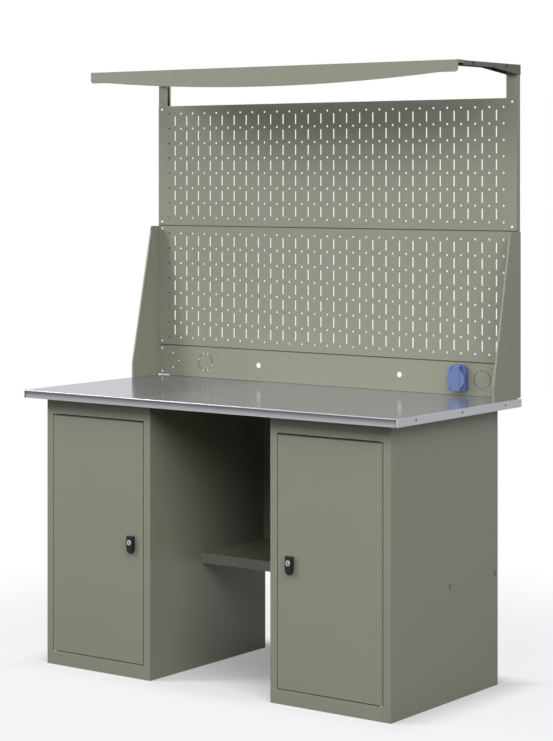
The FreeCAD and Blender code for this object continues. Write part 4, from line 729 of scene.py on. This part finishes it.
def cross_screw(shape, box, axis, dome, shank, settings):
    """A pan head screw with a cross recess and a threaded shank."""
    seat, length = head_seat(box, axis, dome)
    head = head_radius(box, axis)
    arm, half = head * settings.cross_length * 1.25, head * settings.cross_width * 0.9
    sink = min(settings.cross_depth, dome * 0.8)
    profile = [(shank * 0.15, -length)]
    threads = max(4, int(length / SCREW_PITCH))
    for step in range(threads):
        level = -length * 0.86 * (1 - step / threads)
        profile += [(shank * 0.78, level), (shank, level + length * 0.3 / threads)]
    profile += [(shank, 0.0), (head * 0.97, 0.0), (head, dome * 0.12), (head * 0.985, dome * 0.38),
                (head * 0.93, dome * 0.60), (head * 0.84, dome * 0.80), (head * 0.70, dome * 0.94),
                (head * 0.60, dome)]
    recess = [cross_loop(arm, half, dome * 0.99), cross_loop(arm * 0.96, half * 0.86, dome - sink * 0.25),
              cross_loop(arm * 0.55, half * 0.70, dome - sink)]
    skin(shape, turned(profile) + recess, axis_frame(seat, axis))


def plug_cap(shape, box, axis, dish):
    """A round plastic plug: a low cap with a dished middle, and a ribbed stem."""
    depth, stem = PLUG_CAP, PLUG_STEM
    seat, length = head_seat(box, axis, depth)
    cap = head_radius(box, axis)
    profile = [(stem * 0.70, -length), (stem * 0.86, -length * 0.9), (stem * 0.86, -length * 0.55),
               (stem, -length * 0.45), (stem, -length * 0.30), (stem * 0.9, -length * 0.2), (stem * 0.9, 0.0),
               (cap * 0.98, 0.0), (cap, depth * 0.25), (cap * 0.97, depth * 0.62), (cap * 0.86, depth * 0.93),
               (cap * 0.72, depth), (cap * 0.60, depth * 0.96), (cap * 0.52, depth - dish),
               (cap * 0.10, depth - dish)]
    skin(shape, turned(profile), axis_frame(seat, axis))


# ---------------------------------------------------------------- operators

class BENCH_OT_sheets(bpy.types.Operator):
    """Paint the folded sheet pieces"""

    bl_idname = "bench.sheets"
    bl_label = "Painted sheets"

    def execute(self, context):
        others = {node for names in FINISH_NODES.values() for node in names} | set(REBUILT)
        FINISH_NODES["olive_paint"] = [node for node in NODES if node not in others]
        dress([slot for slot in finishes() if slot.endswith("_paint")])
        return {"FINISHED"}


class BENCH_OT_worktop(bpy.types.Operator):
    """Finish the worktop's steel and its board"""

    bl_idname = "bench.worktop"
    bl_label = "Worktop"

    def execute(self, context):
        dress(["worktop_steel", "board"])
        return {"FINISHED"}


class BENCH_OT_screws(bpy.types.Operator):
    """Build the screws and bolts with their cross recesses"""

    bl_idname = "bench.screws"
    bl_label = "Screws and bolts"

    def execute(self, context):
        settings = context.scene.bench_hardware
        for node, slot, dome, shank in SCREW_KINDS:
            shape = bmesh.new()
            for box in solids_of(node):
                cross_screw(shape, box, self.axis_of(node, box), dome, shank, settings)
            finish_piece(f"{node}_with_recess", shape, slot, node)
        return {"FINISHED"}

    def axis_of(self, node, box):
        """The direction that a screw's head looks in."""
        middle = (box[0] + box[1]) / 2
        if node in ("end_cap_screws", "shelf_bolts"):
            return (math.copysign(1.0, middle.x), 0, 0)
        if node in ("back_wall_screws", "socket_screws"):
            return (0, -1, 0)
        upward = node != "wood_screws" or middle.z > (TOP_LEVEL + TOP_BOTTOM) / 2
        return (0, 0, 1 if upward else -1)


class BENCH_OT_plugs(bpy.types.Operator):
    """Build the round plugs in the cabinet sides"""

    bl_idname = "bench.plugs"
    bl_label = "Side plugs"

    def execute(self, context):
        shape = bmesh.new()
        for box in solids_of("side_plugs"):
            outward = math.copysign(1.0, box[0].x + box[1].x)
            plug_cap(shape, box, (outward, 0, 0), context.scene.bench_hardware.plug_dish)
        finish_piece("dished_side_plugs", shape, "plug_plastic", "side_plugs")
        return {"FINISHED"}


class BENCH_OT_locks(bpy.types.Operator):
    """Build the lock handles and cylinders"""

    bl_idname = "bench.locks"
    bl_label = "Locks"

    def execute(self, context):
        dress(["zinc_steel"])
        for side in SIDES:
            self.make_handle(side, context.scene.bench_hardware)
            self.make_cylinder(side, context.scene.bench_hardware)
        return {"FINISHED"}

    def door_face(self, side):
        """Where the front of a door lies."""
        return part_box(f"{side}_door_panel")[0][1]

    def lock_frame(self, side):
        """A frame on the lock's axis at the door's face, looking out of the door."""
        low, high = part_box(f"{side}_lock_cylinder")
        return axis_frame(((low[0] + high[0]) / 2, self.door_face(side), (low[2] + high[2]) / 2), (0, -1, 0))

    def handle_outline(self, extent, inset, level):
        """The handle's outline, drawn in by an inset: square above, and a rounded nose below."""
        half, above, below = extent
        shoulder, nose = HANDLE_SHOULDER, HANDLE_NOSE
        points = []

        def arc(across, up, radius, first, last, steps):
            reach = max(radius - inset, 0.0004)
            for step in range(steps + 1):
                turn = math.radians(first + (last - first) * step / steps)
                points.append((across + reach * math.cos(turn), up + reach * math.sin(turn), level))

        def edge(start, end, steps):
            for step in range(1, steps):
                share = step / steps
                points.append((start[0] + (end[0] - start[0]) * share, start[1] + (end[1] - start[1]) * share,
                               level))

        pull = max(HANDLE_CORNER, inset + 0.0004)
        arc(half - pull, above - pull, pull, 0, 90, 5)
        arc(pull - half, above - pull, pull, 90, 180, 5)
        edge((inset - half, above - pull), (inset - half, shoulder), 5)
        points.append((inset - half, shoulder, level))
        centre = nose - below
        edge((inset - half, shoulder), (inset - nose, centre), 4)
        arc(0.0, centre, nose, 180, 360, 14)
        edge((nose - inset, centre), (half - inset, shoulder), 4)
        points.append((half - inset, shoulder, level))
        edge((half - inset, shoulder), (half - inset, above - pull), 5)
        return points

    def face_radius(self, side):
        """Half the width of the cylinder's round face."""
        low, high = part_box(f"{side}_lock_cylinder")
        return (high[0] - low[0]) / 2

    def make_handle(self, side, settings):
        """The handle's plate, the collar round its cylinder, and its threaded barrel."""
        node = f"{side}_lock_handle"
        low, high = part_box(node)
        door_face = self.door_face(side)
        depth, barrel = door_face - low[1], high[1] - door_face
        placing = self.lock_frame(side)
        axis_level = placing.translation.z
        extent = ((high[0] - low[0]) / 2, high[2] - axis_level, axis_level - low[2])
        crown = settings.crown
        shape = bmesh.new()
        plate = [(0.0016, 0.0), (0.0012, depth * 0.14), (0.0004, depth * 0.26), (0.0, depth * 0.40),
                 (0.0, depth * 0.72), (0.0002, depth * 0.82), (0.0007, depth * 0.91 - crown * 0.3),
                 (0.0015, depth - crown * 0.9), (0.0028, depth - crown * 0.5), (0.0046, depth - crown * 0.15),
                 (0.0062, depth)]
        skin(shape, [self.handle_outline(extent, inset, level) for inset, level in plate], placing)
        face = self.face_radius(side)
        inner, outer = face + 0.0004, face + settings.collar_width
        top = depth + settings.collar_height
        collar = [(outer, depth * 0.6), (outer, top - 0.0008), (outer - 0.0003, top - 0.0003),
                  (outer - 0.0009, top), (inner + 0.0004, top), (inner, top - 0.0004), (inner, depth + 0.0001)]
        skin(shape, turned(collar, LOCK_STEPS), placing)
        pitch, root = settings.thread_pitch, BARREL_RADIUS - 0.0006
        thread = [(BARREL_RADIUS - 0.0009, -barrel), (BARREL_RADIUS - 0.0007, -barrel + 0.0006)]
        for step in range(int((barrel - 0.001) / pitch)):
            level = -barrel + 0.0008 + step * pitch
            thread += [(root, level), (BARREL_RADIUS, level + pitch * 0.5)]
        thread.append((root, 0.0002))
        skin(shape, turned(thread), placing)
        finish_piece(f"{side}_lock_handle_moulded", shape, "black_plastic", node, f"{side}_door")

    def make_cylinder(self, side, settings):
        """The cylinder, turned from its square tail to its face, with the key slot sunk in."""
        node = f"{side}_lock_cylinder"
        low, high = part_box(node)
        door_face = self.door_face(side)
        top, tail = door_face - low[1], high[1] - door_face
        handle_face = door_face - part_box(f"{side}_lock_handle")[0][1]
        face, back = self.face_radius(side), handle_face + 0.00015
        slot = (settings.key_slot_width / 2, settings.key_slot_height / 2)
        loops = [box_loop(TAIL_HALF * 0.9, TAIL_HALF * 0.9, -tail),
                 box_loop(TAIL_HALF, TAIL_HALF, -tail + 0.0004), box_loop(TAIL_HALF, TAIL_HALF, TAIL_START)]
        profile = [(CORE_RADIUS, TAIL_START), (CORE_RADIUS, back), (face - 0.0002, back), (face, back + 0.0003),
                   (face, top - 0.0010), (face - 0.0003, top - 0.0004), (face - 0.0009, top - 0.00005),
                   (face - 0.0020, top), (face - 0.0022, top - 0.0003), (face - 0.0030, top - 0.0003),
                   (face - 0.0032, top)]
        loops += turned(profile, LOCK_STEPS)
        loops += [box_loop(slot[0] * 1.25, slot[1] * 1.06, top), box_loop(*slot, top - 0.0004),
                  box_loop(*slot, top - 0.005)]
        shape = bmesh.new()
        skin(shape, loops, self.lock_frame(side))
        finish_piece(f"{side}_lock_cylinder_face", shape, "cylinder_metal", node, f"{side}_lock")


class BENCH_OT_hinges(bpy.types.Operator):
    """Finish the hinge washers"""

    bl_idname = "bench.hinges"
    bl_label = "Hinge washers"

    def execute(self, context):
        dress(["nylon"])
        return {"FINISHED"}


class BENCH_OT_socket(bpy.types.Operator):
    """Finish the socket, its lid and its contacts"""

    bl_idname = "bench.socket"
    bl_label = "Socket"

    def execute(self, context):
        dress(["socket_blue", "lid_blue", "carrier_plastic", "brass"])
        return {"FINISHED"}


class BENCH_OT_stage(bpy.types.Operator):
    """Set up the floor, the lamps, the world and the camera"""

    bl_idname = "bench.stage"
    bl_label = "Picture stage"

    def execute(self, context):
        scene = context.scene
        settings = scene.bench_stage
        scene.view_settings.view_transform = "Standard"

        camera_data = bpy.data.cameras.new("picture_camera")
        camera_data.lens = settings.camera_lens
        camera_data.shift_y = settings.camera_shift
        camera = bpy.data.objects.new("picture_camera", camera_data)
        camera.location = settings.camera_place
        camera.rotation_euler = (math.radians(90), 0, settings.camera_turn)
        scene.collection.objects.link(camera)
        scene.camera = camera

        for name in ("left", "front", "side", "top"):
            self.hang_lamp(scene, f"{name}_lamp", *(getattr(settings, f"{name}_{value}")
                                                    for value in ("place", "size", "power")))
        self.make_world(scene, settings)
        self.make_floor(scene, settings)
        return {"FINISHED"}

    def hang_lamp(self, scene, name, place, size, power):
        """A soft square lamp that looks at the middle of the bench."""
        data = bpy.data.lights.new(name, "AREA")
        data.shape = "SQUARE"
        data.size = size
        data.energy = power
        lamp = bpy.data.objects.new(name, data)
        lamp.location = place
        lamp.rotation_euler = (Vector(LAMP_TARGET) - Vector(place)).to_track_quat("-Z", "Y").to_euler()
        scene.collection.objects.link(lamp)

    def seen_directly(self, finish):
        """1 for rays from the camera, and for those that gloss or glass sends on."""
        rays = finish.node("ShaderNodeLightPath", output="Is Camera Ray")
        outputs = rays.socket.node.outputs
        gloss = Wire(finish, outputs["Is Glossy Ray"])
        glass = Wire(finish, outputs["Is Transmission Ray"])
        return highest([rays, gloss, glass])

    def make_world(self, scene, settings):
        """Soft light from above, behind a white backdrop."""
        world = bpy.data.worlds.new("studio_world")
        scene.world = world
        finish = Finish(world)
        height = finish.split(finish.node("ShaderNodeTexCoord", output="Generated"))[2]
        level = height.step(0.0, 0.95) * (settings.sky_high - settings.sky_low) + settings.sky_low
        light = finish.node("ShaderNodeBackground", {}, {"Color": (1.0, 1.0, 1.0), "Strength": level})
        backdrop = finish.node("ShaderNodeBackground", {}, {"Color": (1.0, 1.0, 1.0), "Strength": 1.0})
        both = finish.node("ShaderNodeMixShader", {}, {0: self.seen_directly(finish), 1: light, 2: backdrop})
        finish.node("ShaderNodeOutputWorld", {}, {"Surface": both})

    def make_floor(self, scene, settings):
        """A pale floor that keeps a soft shadow near the bench and turns white farther out."""
        corners = [(across * FLOOR_REACH, along * FLOOR_REACH, 0)
                   for across, along in ((-1, -1), (1, -1), (1, 1), (-1, 1))]
        shape = bpy.data.meshes.new("studio_floor")
        shape.from_pydata(corners, [], [(0, 1, 2, 3)])
        floor = bpy.data.objects.new("studio_floor", shape)
        scene.collection.objects.link(floor)

        finish = new_finish("studio_floor_paper")
        place = finish.place()
        across, along, _ = finish.split(place)
        fibre = finish.noise(place, 60.0, 3.0, 0.6)
        tint = finish.mix(scaled(settings.floor_colour, 0.995), settings.floor_colour, fibre)
        near = finish.node("ShaderNodeBsdfPrincipled", {}, {"Base Color": tint, "Roughness": 0.9,
                                                            "Specular IOR Level": 0.0})
        white = finish.node("ShaderNodeEmission", {}, {"Color": (1.0, 1.0, 1.0), "Strength": 1.0})
        dull = finish.node("ShaderNodeBsdfDiffuse", {}, {"Color": (settings.floor_bounce,) * 3})
        lit = finish.node("ShaderNodeEmission", {}, {"Color": (0.985, 0.985, 1.0),
                                                     "Strength": settings.floor_level})
        (left, front, _), (right, back, _) = FOOTPRINT
        outside = highest([outside_of(across, left, right), outside_of(along, front, back)])
        outside = outside.step(0.0, settings.shadow_reach)
        shadow = settings.shadow_near - outside * (settings.shadow_near - settings.shadow_far)
        shaded = finish.node("ShaderNodeMixShader", {}, {0: shadow, 1: lit, 2: near})
        faded = span(across, along).step(settings.floor_near, settings.floor_far)
        paper = finish.node("ShaderNodeMixShader", {}, {0: faded, 1: shaded, 2: white})
        both = finish.node("ShaderNodeMixShader", {}, {0: self.seen_directly(finish), 1: dull, 2: paper})
        finish.node("ShaderNodeOutputMaterial", {}, {"Surface": both})
        shape.materials.append(finish.owner)


class BENCH_PT_panel(bpy.types.Panel):
    """Everything that dresses the workbench"""

    bl_idname = "BENCH_PT_panel"
    bl_label = "Workbench"
    bl_space_type = "VIEW_3D"
    bl_region_type = "UI"
    bl_category = "Workbench"

    def draw(self, context):
        layout = self.layout
        for group in (context.scene.bench_finish, context.scene.bench_hardware, context.scene.bench_stage):
            box = layout.box()
            for name in group.__annotations__:
                box.prop(group, name)
        for operator in OPERATORS:
            layout.operator(operator.bl_idname)


OPERATORS = (BENCH_OT_stage, BENCH_OT_sheets, BENCH_OT_worktop, BENCH_OT_screws, BENCH_OT_plugs, BENCH_OT_locks,
             BENCH_OT_hinges, BENCH_OT_socket)
CLASSES = (BENCH_PG_stage, BENCH_PG_finish, BENCH_PG_hardware, *OPERATORS, BENCH_PT_panel)


def register():
    for made in CLASSES:
        bpy.utils.register_class(made)
    bpy.types.Scene.bench_stage = PointerProperty(type=BENCH_PG_stage)
    bpy.types.Scene.bench_finish = PointerProperty(type=BENCH_PG_finish)
    bpy.types.Scene.bench_hardware = PointerProperty(type=BENCH_PG_hardware)


def unregister():
    del bpy.types.Scene.bench_hardware
    del bpy.types.Scene.bench_finish
    del bpy.types.Scene.bench_stage
    for made in reversed(CLASSES):
        bpy.utils.unregister_class(made)


def main():
    register()
    bpy.ops.bench.stage()
    bpy.ops.bench.sheets()
    bpy.ops.bench.worktop()
    bpy.ops.bench.screws()
    bpy.ops.bench.plugs()
    bpy.ops.bench.locks()
    bpy.ops.bench.hinges()
    bpy.ops.bench.socket()


if __name__ == "__main__":
    main()
